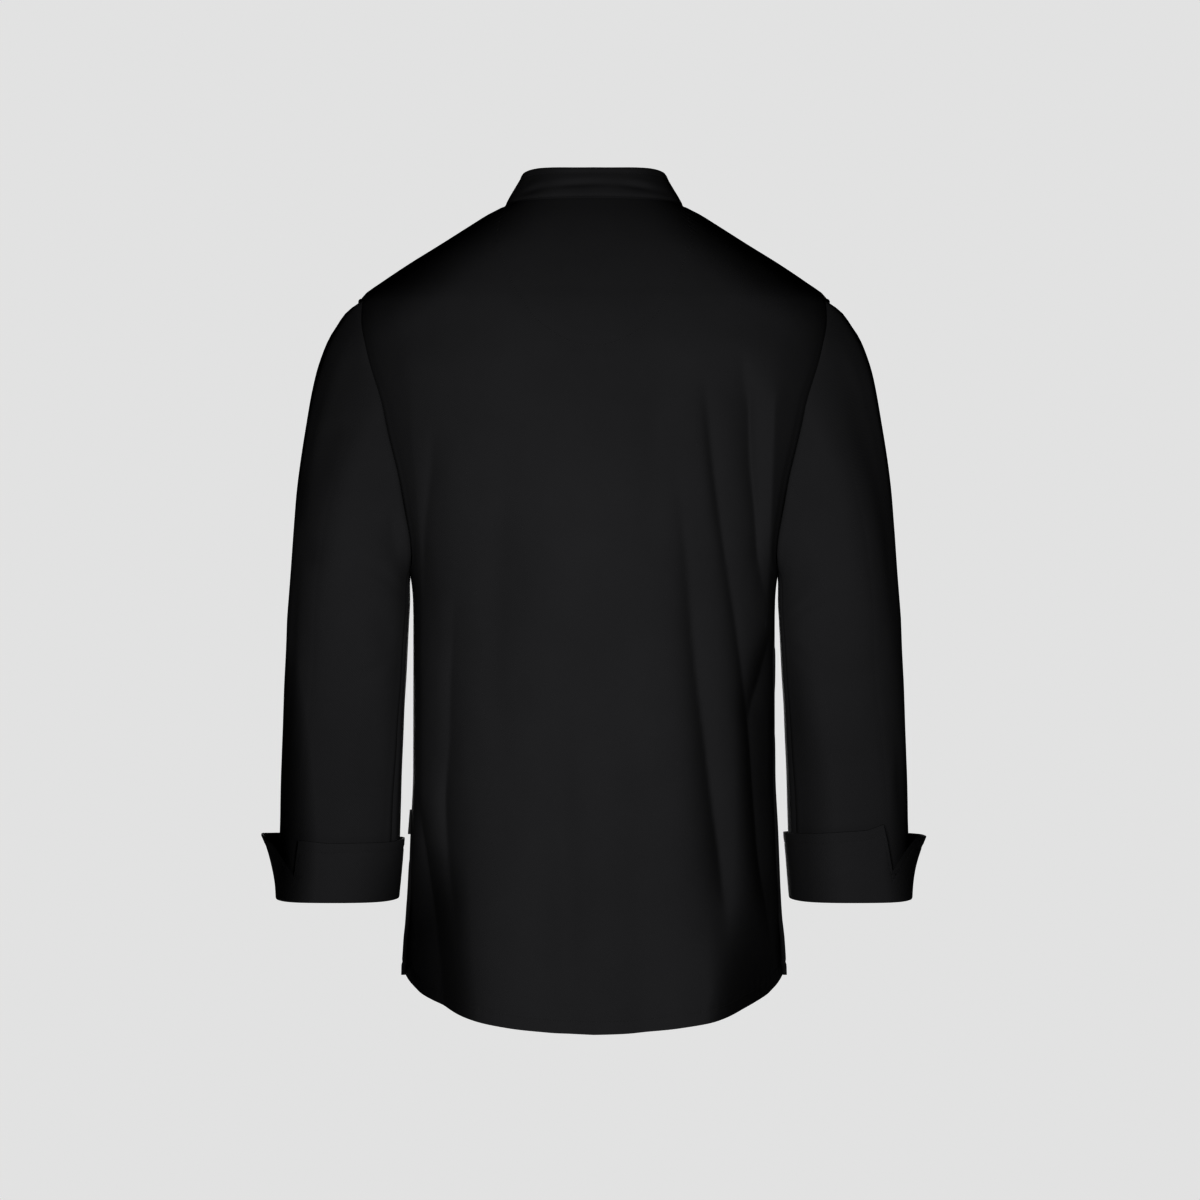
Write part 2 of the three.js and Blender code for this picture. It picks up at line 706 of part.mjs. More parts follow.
function button(name, x, down) {
  const turn = 180 - turnAtX(x, down);
  const n = torsoNormal(turn, down);
  const profile = [[0, 0], [5, 0.2], [8.8, 1.2], [BUTTON_RADIUS, 2.1], [8.6, 3.3], [5, 4.3], [0, 4.7]];
  const geometry = new THREE.LatheGeometry(profile.map(([r, y]) => new THREE.Vector2(r, y)), 12);
  const place = new THREE.Matrix4().makeRotationFromQuaternion(
    new THREE.Quaternion().setFromUnitVectors(new THREE.Vector3(0, 1, 0), n),
  );
  place.setPosition(torso(turn, down, OVERLAP_LIFT + 0.45));
  geometry.applyMatrix4(place);
  geometry.deleteAttribute("uv");
  geometry.deleteAttribute("normal");
  add(name, geometry, buttonBlack);
}

function sideLabel() {
  const { top, bottom, out, thick } = LABEL;
  const corner = 1.2;
  const x0 = bareTorso(90, (top + bottom) / 2).x + 0.8;
  const shape = new THREE.Shape();
  shape.moveTo(0, 0);
  shape.lineTo(out - corner, 0);
  shape.quadraticCurveTo(out, 0, out, corner);
  shape.lineTo(out, bottom - top - corner);
  shape.quadraticCurveTo(out, bottom - top, out - corner, bottom - top);
  shape.lineTo(0, bottom - top);
  const geometry = new THREE.ExtrudeGeometry(shape, { depth: thick, bevelEnabled: false, curveSegments: 3 });
  geometry.rotateX(Math.PI / 2);
  geometry.translate(x0, thick / 2, -bottom);
  add("side_label", geometry, darkTape);
}

backPanel();
frontPanel("front_left", 1);
frontPanel("front_right", -1);
collar();
sleeve("left", 1);
sleeve("right", -1);
cuff("left", 1);
cuff("right", -1);
sideLabel();
BUTTON_ROWS.forEach((down, i) => {
  button("button_" + (2 * i + 1), BUTTON_X, down);
  button("button_" + (2 * i + 2), -BUTTON_X, down);
});

export default jacket;
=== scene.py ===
"""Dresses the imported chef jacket: fine cloth, folds, hems, thread and buttons, on a pale studio floor.

Tables and shapes are in millimetres. "down" is the distance below the side neck points, and
"turn" is the angle round the body, 0 at centre back and 180 at centre front.
"""

import math

import bmesh
import bpy
import numpy as np
from mathutils import Matrix, Vector, noise


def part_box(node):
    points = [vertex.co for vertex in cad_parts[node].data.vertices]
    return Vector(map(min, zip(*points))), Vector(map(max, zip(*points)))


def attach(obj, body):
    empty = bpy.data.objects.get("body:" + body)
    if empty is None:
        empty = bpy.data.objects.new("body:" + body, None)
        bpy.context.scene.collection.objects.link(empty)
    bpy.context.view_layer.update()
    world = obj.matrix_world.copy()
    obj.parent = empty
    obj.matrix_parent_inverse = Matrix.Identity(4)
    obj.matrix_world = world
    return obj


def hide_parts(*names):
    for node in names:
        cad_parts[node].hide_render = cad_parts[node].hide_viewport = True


bl_info = {
    "name": "Chef Jacket Dresser",
    "version": (1, 0, 0),
    "blender": (4, 5, 0),
    "location": "3D View > Sidebar > Jacket",
    "description": "Builds the cloth, thread and buttons of a black chef jacket on its packed frame",
    "category": "Object",
}

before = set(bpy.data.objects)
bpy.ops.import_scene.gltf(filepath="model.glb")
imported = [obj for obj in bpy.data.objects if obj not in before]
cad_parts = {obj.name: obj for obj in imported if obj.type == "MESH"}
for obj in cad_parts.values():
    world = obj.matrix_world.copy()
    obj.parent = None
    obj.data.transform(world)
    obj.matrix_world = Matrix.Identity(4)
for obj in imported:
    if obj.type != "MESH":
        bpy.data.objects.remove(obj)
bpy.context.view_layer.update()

SHOULDER_TURN = 78.0
SHOULDER_DOWN = 89.0
UNDERARM_DOWN = 345.0
SIDE_HEM_DOWN = 722.0
OVERLAP_X = 95.0
CAP_END_DOWN = 384.0
SLEEVE_END_DOWN = 649.4
CUFF_FOLD_DOWN = 653.5
COLLAR_END_TURN = 177.0
ELBOW_WAY = 63.0
INSEAM_WAY = 166.0


def columns(names, rows):
    return {name: np.array([row[i] for row in rows], float) for i, name in enumerate(names)}


TORSO = columns(
    ["down", "half_width", "back_depth", "front_depth", "squareness"],
    [
        [-8, 71, 51, 30, 2.2],
        [0, 83, 58, 36, 2.2],
        [8.5, 99.6, 65.5, 42, 2.2],
        [18, 114.7, 73, 50, 2.25],
        [37, 144.5, 85, 65, 2.3],
        [55.5, 174.4, 94, 77, 2.3],
        [74, 202, 101.5, 87, 2.3],
        [84, 215.7, 105, 91, 2.3],
        [92, 220.5, 108, 95, 2.3],
        [108, 221.5, 112.5, 101, 2.3],
        [134, 219.5, 118, 109, 2.3],
        [196, 211, 127, 120, 2.3],
        [250, 198, 131, 125, 2.3],
        [296, 185, 131.5, 127, 2.3],
        [320, 178, 131, 127, 2.3],
        [345, 172.5, 130, 126, 2.3],
        [357, 170.6, 129.5, 126, 2.3],
        [370, 169.6, 129, 125, 2.3],
        [390, 169.2, 128.5, 125, 2.3],
        [530, 169.4, 128, 124, 2.3],
        [590, 172, 128, 124, 2.3],
        [640, 174, 129, 124, 2.3],
        [672, 175.8, 129.5, 124, 2.3],
        [690, 177.6, 130, 124, 2.3],
        [722, 179, 130.5, 124, 2.3],
        [780, 180, 131, 124, 2.3],
    ],
)

ARMHOLE = columns(
    ["down", "back_turn", "front_turn"],
    [
        [89, 78, 78],
        [108, 78.3, 75.5],
        [134, 75, 67.6],
        [196, 66.3, 60],
        [250, 66, 60.5],
        [296, 69, 65],
        [325, 73.5, 71],
        [338, 78.5, 78],
        [345, 90, 90],
    ],
)

NECKLINE = columns(
    ["turn", "down"],
    [
        [0, -3],
        [45, -2],
        [78, 0],
        [100, 2],
        [124, 6.5],
        [138, 15],
        [150, 27],
        [160, 41],
        [168, 58],
        [175, 74],
        [180, 82],
        [205, 76],
    ],
)

BACK_HEM = columns(
    ["x", "down"],
    [
        [0, 766],
        [32, 765],
        [49, 763.5],
        [68, 761.8],
        [86, 759.6],
        [104, 757],
        [123, 752.8],
        [141, 746.6],
        [155, 741],
        [161, 737.9],
        [166, 734],
        [172, 729],
        [179, 722],
    ],
)

COLLAR_LEAN = columns(
    ["height", "inward"], [[0, 0], [9, 3.4], [17, 7], [24, 10], [29, 11.6], [33, 13]]
)

SLEEVE = columns(
    ["down", "outer_x", "inner_x", "half_depth", "middle_y", "outer_round", "inner_round"],
    [
        [91, 220.5, 172, 22, 0, 1.0, 0.9],
        [95, 227, 172, 26, 0, 1.0, 0.9],
        [102.5, 235.5, 172, 31, 0, 1.0, 0.85],
        [112, 242, 172, 36, 0, 1.0, 0.8],
        [121, 248, 172, 40, 0, 1.0, 0.75],
        [131, 253, 172, 45, 0, 1.0, 0.7],
        [154, 261, 172, 54, 0, 1.0, 0.65],
        [178, 266, 172, 60, 0, 1.0, 0.6],
        [201, 270, 172, 64, 0, 1.0, 0.58],
        [248, 277, 172, 68, 1, 1.0, 0.56],
        [295, 281.5, 172.2, 69, 1, 0.97, 0.56],
        [345, 285, 173.2, 68, 1, 0.92, 0.56],
        [370, 286.6, 173, 66, 1, 0.9, 0.58],
        [389, 288, 173.8, 65, 0, 0.86, 0.6],
        [436, 290, 176.3, 60, -3, 0.78, 0.66],
        [483, 292.3, 179, 55, -7, 0.7, 0.74],
        [530, 294.2, 181, 50, -12, 0.62, 0.84],
        [568, 295.6, 182.6, 46.5, -16, 0.58, 0.9],
        [595, 296.4, 183.4, 44.5, -19, 0.56, 0.92],
        [655, 298, 187, 42.5, -24, 0.56, 0.94],
    ],
)

SLEEVE_SEAMS = columns(
    ["down", "elbow", "inseam"],
    [[120, 0, 0], [345, 0, 0], [413, 1, -2], [568, -9, -12], [655, -13, -15]],
)

CUFF_EDGE = {
    "left": columns(
        ["way", "down"],
        [
            [0, 590],
            [24, 598],
            [49, 629.5],
            [55, 594.5],
            [82, 597.4],
            [142, 597],
            [180, 594.5],
            [270, 595],
            [360, 590],
        ],
    ),
    "right": columns(
        ["way", "down"],
        [
            [0, 593],
            [24, 592],
            [51, 624],
            [61, 579.5],
            [76, 585],
            [120, 588.5],
            [180, 589],
            [270, 591],
            [360, 593],
        ],
    ),
}

# Folds of the body. Each row is a place along the bottom of a fold: down, x, depth, and how far the
# two sides of the fold reach. "left" is the side with the greater x. A negative depth is a ridge.
FOLD_ROWS = ["down", "x", "depth", "left", "right"]

BACK_FOLDS = [
    # The long crisp crease under the right shoulder blade, down to the side.
    [
        [166, -100, 0, 5, 14],
        [196, -103.5, 4, 4, 14],
        [233, -107.5, 8, 4, 18],
        [279, -113, 8.5, 4.5, 18],
        [335, -121, 7.5, 5, 18],
        [390, -130, 8, 5, 18],
        [445, -137.5, 11, 5.5, 20],
        [470, -141, 16, 6, 34],
        [500, -144, 22, 6.5, 60],
        [555, -148, 24, 7, 60],
        [610, -153, 24, 7, 60],
        [655, -160, 14, 8, 60],
        [700, -168, 0, 8, 60],
    ],
    # The roll behind the armhole.
    [
        [135, -132, 0, 20, 9],
        [165, -138, 6, 20, 8],
        [192, -142, 10, 17, 7],
        [233, -143, 11, 10, 8],
        [279, -147, 10, 8.5, 8],
        [330, -151, 7, 8, 10],
        [372, -160, 0, 8, 10],
    ],
    # The deepest roll, which grows towards the hem and ends there in a soft hollow.
    [
        [230, -74, 0, 10, 20],
        [279, -79, 3, 9, 22],
        [335, -85, 7.5, 9, 22],
        [390, -89.5, 12, 9, 24],
        [445, -95, 15, 9.5, 28],
        [500, -102, 20, 10, 34],
        [555, -108.5, 25, 10, 40],
        [598, -114.5, 29, 10.5, 46],
        [628, -118, 25, 12, 46],
        [656, -121, 13, 16, 46],
        [700, -125, 2, 20, 46],
        [730, -127, 0, 20, 46],
    ],
    # The short diagonal crease that meets the long one at the side.
    [
        [392, -169, 4, 7, 60],
        [407, -164, 14, 6, 60],
        [426, -158, 21, 6, 60],
        [445, -152.5, 19, 6, 60],
        [463, -147, 13, 6, 60],
        [490, -142, 0, 6, 60],
    ],
    # The left side: a soft valley above, and a deep one that runs out through the hem.
    [
        [360, 128, 0, 12, 14],
        [415, 130, 4, 10, 14],
        [445, 132, 6, 9, 13],
        [500, 133, 9, 20, 13],
        [555, 137, 12, 9, 13],
        [610, 134, 14, 22, 12],
        [650, 130, 9, 24, 12],
        [690, 126, 0, 24, 12],
    ],
    [
        [545, 166, 0, 12, 6],
        [570, 161, 8, 16, 6],
        [593, 157.4, 15, 20, 7],
        [630, 152, 28, 60, 12],
        [667, 147.5, 42, 120, 15],
        [704, 144.5, 50, 120, 17],
        [731, 142.5, 54, 120, 18],
        [775, 140.5, 54, 120, 18],
    ],
    # The cloth stands full beside the armholes and down the upper sides.
    [
        [60, 160, 0, 30, 34],
        [95, 166, -7, 26, 34],
        [140, 168, -6, 24, 34],
        [200, 168, -2, 14, 30],
        [260, 164, -3, 14, 30],
        [345, 160, -7, 14, 26],
        [450, 160, -8, 14, 26],
        [540, 160, -6, 14, 26],
        [610, 160, 0, 14, 26],
    ],
    [
        [60, -160, 0, 34, 30],
        [95, -166, -6, 34, 26],
        [140, -168, -6, 34, 24],
        [200, -166, -8, 12, 24],
        [279, -164, -10, 12, 18],
        [345, -163, -8, 12, 14],
        [390, -162, -4, 12, 14],
        [420, -162, 0, 12, 14],
    ],
    # Under the left armhole.
    [
        [205, 146, 0, 9, 11],
        [262, 151, 5, 9, 12],
        [330, 157, 5, 9, 12],
        [385, 157, 0, 9, 11],
    ],
    # Broad soft hang of the cloth across the middle.
    [[370, 36, 0, 26, 22], [500, 31, 7, 26, 22], [600, 27, 12, 26, 22], [700, 25, 12, 26, 22], [770, 24, 9, 26, 22]],
    [[400, -34, 0, 24, 24], [560, -38, 6, 24, 24], [680, -44, 8, 24, 24], [770, -46, 7, 24, 24]],
    [[190, 74, 0, 28, 22], [300, 86, 7, 28, 22], [420, 90, 7, 28, 22], [560, 84, 3, 28, 22], [640, 82, 0, 28, 22]],
    [[120, -66, 0, 20, 20], [180, -60, 5, 20, 20], [260, -54, 5, 20, 20], [340, -50, 0, 20, 20]],
]

FRONT_FOLDS = [
    [[140, 132, 0, 12, 8], [200, 139, 6.5, 12, 8], [270, 146, 6.5, 12, 8], [330, 149, 4, 12, 8], [372, 152, 0, 12, 8]],
    [[146, -128, 0, 8, 12], [205, -137, 6, 8, 12], [275, -146, 6.5, 8, 12], [352, -152, 0, 8, 12]],
    [[350, 138, 0, 7, 15], [430, 130, 5, 7, 15], [540, 124, 7.5, 7, 15], [650, 131, 7.5, 7, 15], [730, 136, 5, 7, 15]],
    [[340, -136, 0, 15, 7], [440, -128, 5.5, 15, 7], [560, -130, 8, 15, 7], [660, -124, 6.5, 15, 7], [730, -122, 5, 15, 7]],
    [[332, 120, 0, 4, 5], [362, 130, 3, 4, 5], [392, 141, 3.4, 4, 5], [418, 152, 0, 4, 5]],
    [[326, -118, 0, 5, 4], [360, -129, 3, 5, 4], [388, -140, 3.4, 5, 4], [414, -152, 0, 5, 4]],
    [[470, -108, 0, 4, 4], [520, -112, 2.6, 4, 4], [600, -117, 3, 4, 4], [690, -112, 0, 4, 4]],
]

# Small dents and creases of each sleeve: centre and half size in degrees round and in millimetres
# down. "slant" tips a crease, in millimetres down for each degree round.
DENT_ROWS = ["way", "down", "spread", "height", "depth", "slant"]

ARM_DENTS = {
    "left": [
        [30, 150, 26, 24, 2.5, 0.3],
        [44, 214, 15, 5, 1.8, 0.1],
        [40, 240, 22, 26, 3.0, 0.2],
        [46, 322, 20, 13, 2.2, 0.2],
        [45, 330, 12, 4, 1.0, 0.3],
        [128, 310, 20, 20, 4.0, 0.3],
        [120, 345, 26, 7, 1.4, 0.5],
        [132, 402, 20, 22, 3.2, 0.3],
        [118, 436, 24, 7, 1.2, -0.5],
        [126, 520, 20, 44, 2.6, 0.0],
        [30, 400, 10, 90, 1.6, 0.0],
        [82, 470, 30, 9, 0.8, 0.3],
        [92, 565, 36, 12, 1.0, -0.3],
        [300, 300, 34, 18, 3.2, 0.3],
        [300, 312, 26, 6, 1.5, 0.3],
        [250, 344, 30, 16, 2.8, 0.3],
        [262, 352, 26, 6, 1.3, 0.3],
        [285, 430, 30, 20, 2.0, 0.2],
    ],
    "right": [
        [112, 190, 20, 6, 1.2, 0.5],
        [106, 214, 22, 7, 1.2, -0.4],
        [34, 230, 14, 50, 2.6, 0.3],
        [30, 330, 12, 60, 2.2, 0.0],
        [132, 352, 22, 24, 3.6, 0.4],
        [118, 372, 24, 6, 1.5, 0.5],
        [140, 420, 18, 8, 1.2, -0.4],
        [136, 540, 18, 46, 3.0, 0.0],
        [80, 440, 30, 10, 0.8, 0.4],
        [88, 520, 34, 12, 0.9, -0.4],
        [36, 540, 12, 40, 1.8, 0.2],
        [296, 306, 34, 17, 3.0, 0.3],
        [292, 322, 26, 6, 1.4, 0.3],
        [254, 350, 30, 16, 2.6, 0.3],
        [280, 440, 30, 18, 2.0, -0.2],
        [300, 520, 26, 10, 1.2, 0.2],
    ],
}

NECK_PATCH = columns(
    ["down", "half_width"],
    [
        [6, 86],
        [40, 90],
        [53, 84.5],
        [75, 77],
        [96, 65],
        [112, 54],
        [118, 47],
        [128, 33],
        [134, 20],
        [137, 8],
        [138, 0],
    ],
)


SHADED = [
    (170, 50, [(136, 636), (132, 700), (124, 800), (205, 800), (205, 660), (172, 620)]),
    (170, 50, [(-156, 440), (-157, 620), (-150, 690), (-136, 724), (-118, 800), (-196, 800), (-190, 640), (-178, 440)]),
    (85, 25, [(290, 420), (281, 470), (275, 530), (272, 590), (274, 640), (284, 720), (330, 720), (330, 420)]),
    (85, 25, [(-292, 520), (-287, 580), (-284, 625), (-292, 665), (-330, 720), (-330, 520)]),
    (170, 50, [(82, -20), (80, 4), (112, 20), (160, 68), (190, 88), (216, 100), (236, 116), (262, 100), (262, -20)]),
    (170, 50, [(-82, -20), (-80, 4), (-104, 20), (-150, 60), (-194, 86), (-220, 98), (-240, 116), (-262, 100), (-262, -20)]),
    (95, 25, [(232, 112), (244, 138), (253, 160), (263, 190), (273, 225), (282, 290), (330, 300), (330, 60), (240, 60)]),
    (95, 25, [(-236, 112), (-252, 140), (-265, 165), (-276, 200), (-286, 240), (-290, 290), (-330, 300), (-330, 60), (-244, 60)]),
]


class JacketSizes(bpy.types.PropertyGroup):
    """Sizes of the cloth, its hems and its thread"""

    cloth: bpy.props.FloatProperty(
        name="Cloth", description="Thickness of one wall of twill", default=0.0014, unit="LENGTH"
    )
    collar_cloth: bpy.props.FloatProperty(
        name="Collar cloth", description="Thickness of the doubled collar", default=0.0024, unit="LENGTH"
    )
    collar_height: bpy.props.FloatProperty(
        name="Collar height", description="Height of the stand collar", default=0.0298, unit="LENGTH"
    )
    hem: bpy.props.FloatProperty(
        name="Hem", description="Depth of the turned-up hem to its stitching", default=0.0115, unit="LENGTH"
    )
    overlap_lift: bpy.props.FloatProperty(
        name="Overlap lift", description="How far the left front stands off the right", default=0.003, unit="LENGTH"
    )
    stitch_pitch: bpy.props.FloatProperty(
        name="Stitch pitch", description="Distance from one stitch to the next", default=0.0031, unit="LENGTH"
    )
    stitch_length: bpy.props.FloatProperty(
        name="Stitch length", description="Length of thread that shows", default=0.0023, unit="LENGTH"
    )
    thread: bpy.props.FloatProperty(
        name="Thread", description="Thickness of the sewing thread", default=0.0006, unit="LENGTH"
    )
    button_radius: bpy.props.FloatProperty(
        name="Button radius", description="Radius of a domed button", default=0.0095, unit="LENGTH"
    )


class JacketColours(bpy.types.PropertyGroup):
    """Colours of the cloth, thread and buttons, as sRGB hex values"""

    twill: bpy.props.StringProperty(
        name="Twill", description="Black polyester and cotton twill", default="#202021"
    )
    thread: bpy.props.StringProperty(name="Thread", description="Black sewing thread", default="#141415")
    tape: bpy.props.StringProperty(name="Tape", description="Black woven side tab", default="#101011")
    button: bpy.props.StringProperty(name="Button", description="Black moulded plastic", default="#0c0c0d")


class StageSettings(bpy.types.PropertyGroup):
    """The floor, backdrop, lights and camera"""

    floor_drop: bpy.props.FloatProperty(
        name="Floor drop", description="Height of the side neck points over the floor", default=1.45, unit="LENGTH"
    )
    distance: bpy.props.FloatProperty(
        name="Distance", description="From the camera to the middle of the jacket", default=4.0, unit="LENGTH"
    )
    backdrop: bpy.props.StringProperty(
        name="Backdrop", description="Colour of the pale backdrop", default="#e2e2e2"
    )
    print_gamma: bpy.props.FloatProperty(
        name="Print gamma", description="Below 1 deepens the dark tones, as in the photograph", default=0.7
    )
    key_power: bpy.props.FloatProperty(
        name="Key power", description="Power of the soft light beside the camera", default=44.0, unit="POWER"
    )
    side_share: bpy.props.FloatProperty(
        name="Side light", description="Power of each side light, as a share of the key", default=0.06
    )
    ambient: bpy.props.FloatProperty(
        name="Ambient", description="Share of the backdrop's light that reaches the jacket", default=0.01
    )


def sizes():
    return bpy.context.scene.jacket_sizes


def colours():
    return bpy.context.scene.jacket_colours


def millimetres(name):
    return getattr(sizes(), name) * 1000


def smooth(t):
    t = np.clip(t, 0, 1)
    return t * t * (3 - 2 * t)


def blend(a, b, t):
    return a + (b - a) * t


def signed_power(value, power):
    return np.sign(value) * np.abs(value) ** power


def unit(vectors):
    length = np.linalg.norm(vectors, axis=-1, keepdims=True)
    return vectors / np.maximum(length, 1e-9)


def read(table, key, name, at):
    """A column at a key, by a smooth curve that never swings past the values given."""
    keys = table[key]
    values = table[name]
    steps = np.diff(keys)
    rises = np.diff(values) / steps
    slopes = np.zeros_like(values)
    slopes[0] = rises[0]
    slopes[-1] = rises[-1]
    for i in range(1, len(keys) - 1):
        a = rises[i - 1]
        b = rises[i]
        if a * b > 0:
            wa = 2 * steps[i] + steps[i - 1]
            wb = steps[i] + 2 * steps[i - 1]
            slopes[i] = (wa + wb) / (wa / a + wb / b)
    at = np.clip(at, keys[0], keys[-1])
    i = np.clip(np.searchsorted(keys, at, side="right") - 1, 0, len(keys) - 2)
    h = steps[i]
    t = (at - keys[i]) / h
    t2 = t * t
    t3 = t2 * t
    low = (2 * t3 - 3 * t2 + 1) * values[i] + (t3 - 2 * t2 + t) * h * slopes[i]
    return low + (3 * t2 - 2 * t3) * values[i + 1] + (t3 - t2) * h * slopes[i + 1]


def bare_torso(turn, down):
    turn, down = np.broadcast_arrays(np.asarray(turn, float), np.asarray(down, float))
    power = 2 / read(TORSO, "down", "squareness", down)
    sin = np.sin(np.radians(turn))
    cos = np.cos(np.radians(turn))
    depth = np.where(
        cos > 0,
        read(TORSO, "down", "back_depth", down),
        read(TORSO, "down", "front_depth", down),
    )
    x = read(TORSO, "down", "half_width", down) * signed_power(sin, power)
    return np.stack([x, depth * signed_power(cos, power), -down], axis=-1)


def torso_normal(turn, down):
    turn, down = np.broadcast_arrays(np.asarray(turn, float), np.asarray(down, float))
    around = bare_torso(turn + 1.2, down) - bare_torso(turn - 1.2, down)
    along = bare_torso(turn, down + 7) - bare_torso(turn, down - 7)
    normal = unit(np.cross(around, along))
    here = bare_torso(turn, down)
    outward = normal[..., 0] * here[..., 0] + normal[..., 1] * here[..., 1]
    return np.where(outward[..., None] < 0, -normal, normal)


def turn_at_x(x, down):
    half = read(TORSO, "down", "half_width", down)
    square = read(TORSO, "down", "squareness", down)
    share = np.clip(np.abs(x) / half, 0, 1) ** (square / 2)
    return np.sign(x) * np.degrees(np.arcsin(share))


def fold_depth(folds, x, down):
    """How deep the folds lie here: each side of a fold comes back up along its own reach."""
    total = np.zeros_like(x)
    for fold in folds:
        line = columns(FOLD_ROWS, fold)
        depth = np.where((down < line["down"][0]) | (down > line["down"][-1]), 0, read(line, "down", "depth", down))
        off = x - read(line, "down", "x", down)
        reach = np.where(off > 0, read(line, "down", "left", down), read(line, "down", "right", down))
        broad = np.minimum(read(line, "down", "left", down), read(line, "down", "right", down))
        soft = 1.3 + 0.9 * np.maximum(broad - 14, 0)
        away = np.sqrt(off * off + soft * soft) - soft
        total += depth * np.exp(-away / reach)
    return total


def ripple(points, size, seed):
    """Uneven cloth: soft noise between -1 and 1, over lumps of this size."""
    flat = points.reshape(-1, 3) / size + seed
    found = np.array([noise.noise(Vector(p)) for p in flat.tolist()])
    return found.reshape(points.shape[:-1])


def folded(turn, down, bare, ease=1.0):
    """The bare section with its folds sunk straight towards the inside."""
    x = bare[..., 0]
    back = np.abs(turn) < 90
    seam = np.abs(np.abs(turn) - 90)
    away = smooth(seam / 9) * smooth((down - 110) / 50)
    corner = 40 * smooth((-x - 104) / 56) * smooth((down - 636) / 70)
    depth = np.where(back, fold_depth(BACK_FOLDS, x, down) + corner, -fold_depth(FRONT_FOLDS, x, down))
    sunk = bare.copy()
    sunk[..., 1] -= depth * away * ease
    return sunk


def unevenness(bare, calm):
    rough = 0.55 * ripple(bare * np.array([1.6, 1.0, 0.55]), 46.0, 3.1)
    rough += 0.22 * ripple(bare * np.array([1.2, 1.0, 0.8]), 17.0, 9.7)
    return rough * calm * smooth(-bare[..., 2] / 60)


def arc(points, axis):
    step = np.linalg.norm(np.diff(points, axis=axis), axis=-1)
    zero = np.zeros_like(np.take(step, [0], axis=axis))
    return np.cumsum(np.concatenate([zero, step], axis=axis), axis=axis)


def stops(seam, shares):
    """Places along a seam at these shares of its length, as turn and down."""
    fine = np.linspace(0, 1, 481)
    turn, down = seam(fine)
    turn = np.broadcast_to(np.asarray(turn, float), fine.shape)
    length = arc(bare_torso(turn, down)[None], 1)[0]
    want = np.asarray(shares) * length[-1]
    return np.interp(want, length, turn), np.interp(want, length, down)


def armhole_down(t, top):
    return blend(top, UNDERARM_DOWN, np.sin(t * math.pi / 2) ** 0.9)


def back_armhole(t):
    down = armhole_down(t, SHOULDER_DOWN)
    return read(ARMHOLE, "down", "back_turn", down), down


def front_armhole(t):
    down = armhole_down(t, SHOULDER_DOWN + 6)
    return 180 - read(ARMHOLE, "down", "front_turn", down), down


def shoulder_seam(t):
    return np.full_like(t, SHOULDER_TURN), SHOULDER_DOWN * t


def side_seam(t):
    return np.full_like(t, 90.0), blend(UNDERARM_DOWN, SIDE_HEM_DOWN, t)


def crowded(count, near_start, near_end, crowd=0.35):
    """Shares from 0 to 1, closer together at the ends that are asked for."""
    t = np.linspace(0, 1, count + 1)
    weight = np.ones_like(t)
    if near_start:
        weight -= (1 - crowd) * np.exp(-((t / 0.06) ** 2))
    if near_end:
        weight -= (1 - crowd) * np.exp(-(((1 - t) / 0.06) ** 2))
    step = (weight[1:] + weight[:-1]) / 2
    out = np.concatenate([[0], np.cumsum(step)])
    return out / out[-1]


def fold_shares(count):
    """Shares across the back, closer together where the folds are, near both sides."""
    t = np.linspace(0, 1, count + 1)
    middle = np.exp(-(((t - 0.5) / 0.17) ** 4))
    weight = 0.42 + 0.58 * middle
    step = (weight[1:] + weight[:-1]) / 2
    out = np.concatenate([[0], np.cumsum(step)])
    return out / out[-1]


def joined(parts):
    turns = [parts[0][0]] + [turn[1:] for turn, down in parts[1:]]
    downs = [parts[0][1]] + [down[1:] for turn, down in parts[1:]]
    return np.concatenate(turns), np.concatenate(downs)


def back_edge():
    return joined(
        [
            stops(shoulder_seam, crowded(22, True, True)),
            stops(back_armhole, crowded(48, True, True)),
            stops(side_seam, crowded(112, True, True, 0.28)),
        ]
    )


def front_edge():
    over = (
        np.array([SHOULDER_TURN, 84, 90, 96, 102.0]),
        np.array([SHOULDER_DOWN, SHOULDER_DOWN + 0.2, SHOULDER_DOWN + 0.9, SHOULDER_DOWN + 2.4, SHOULDER_DOWN + 4.9]),
    )
    return joined(
        [
            stops(shoulder_seam, crowded(22, True, True)),
            over,
            stops(front_armhole, crowded(46, False, True)),
            stops(side_seam, crowded(84, True, True, 0.28)),
        ]
    )


def back_domain(count):
    edge_turn, edge_down = back_edge()
    share = arc(bare_torso(edge_turn, edge_down)[None], 1)[0]
    share = (share / share[-1])[:, None]
    across = 1 - 2 * fold_shares(count)[None]
    turn = edge_turn[:, None] * across
    rise = read(NECKLINE, "turn", "down", np.abs(SHOULDER_TURN * across))
    x = np.abs(bare_torso(90 * across, SIDE_HEM_DOWN)[..., 0])
    drop = read(BACK_HEM, "x", "down", x) - SIDE_HEM_DOWN
    down = edge_down[:, None] + rise * (1 - share) ** 6 + drop * share**5
    return turn, down


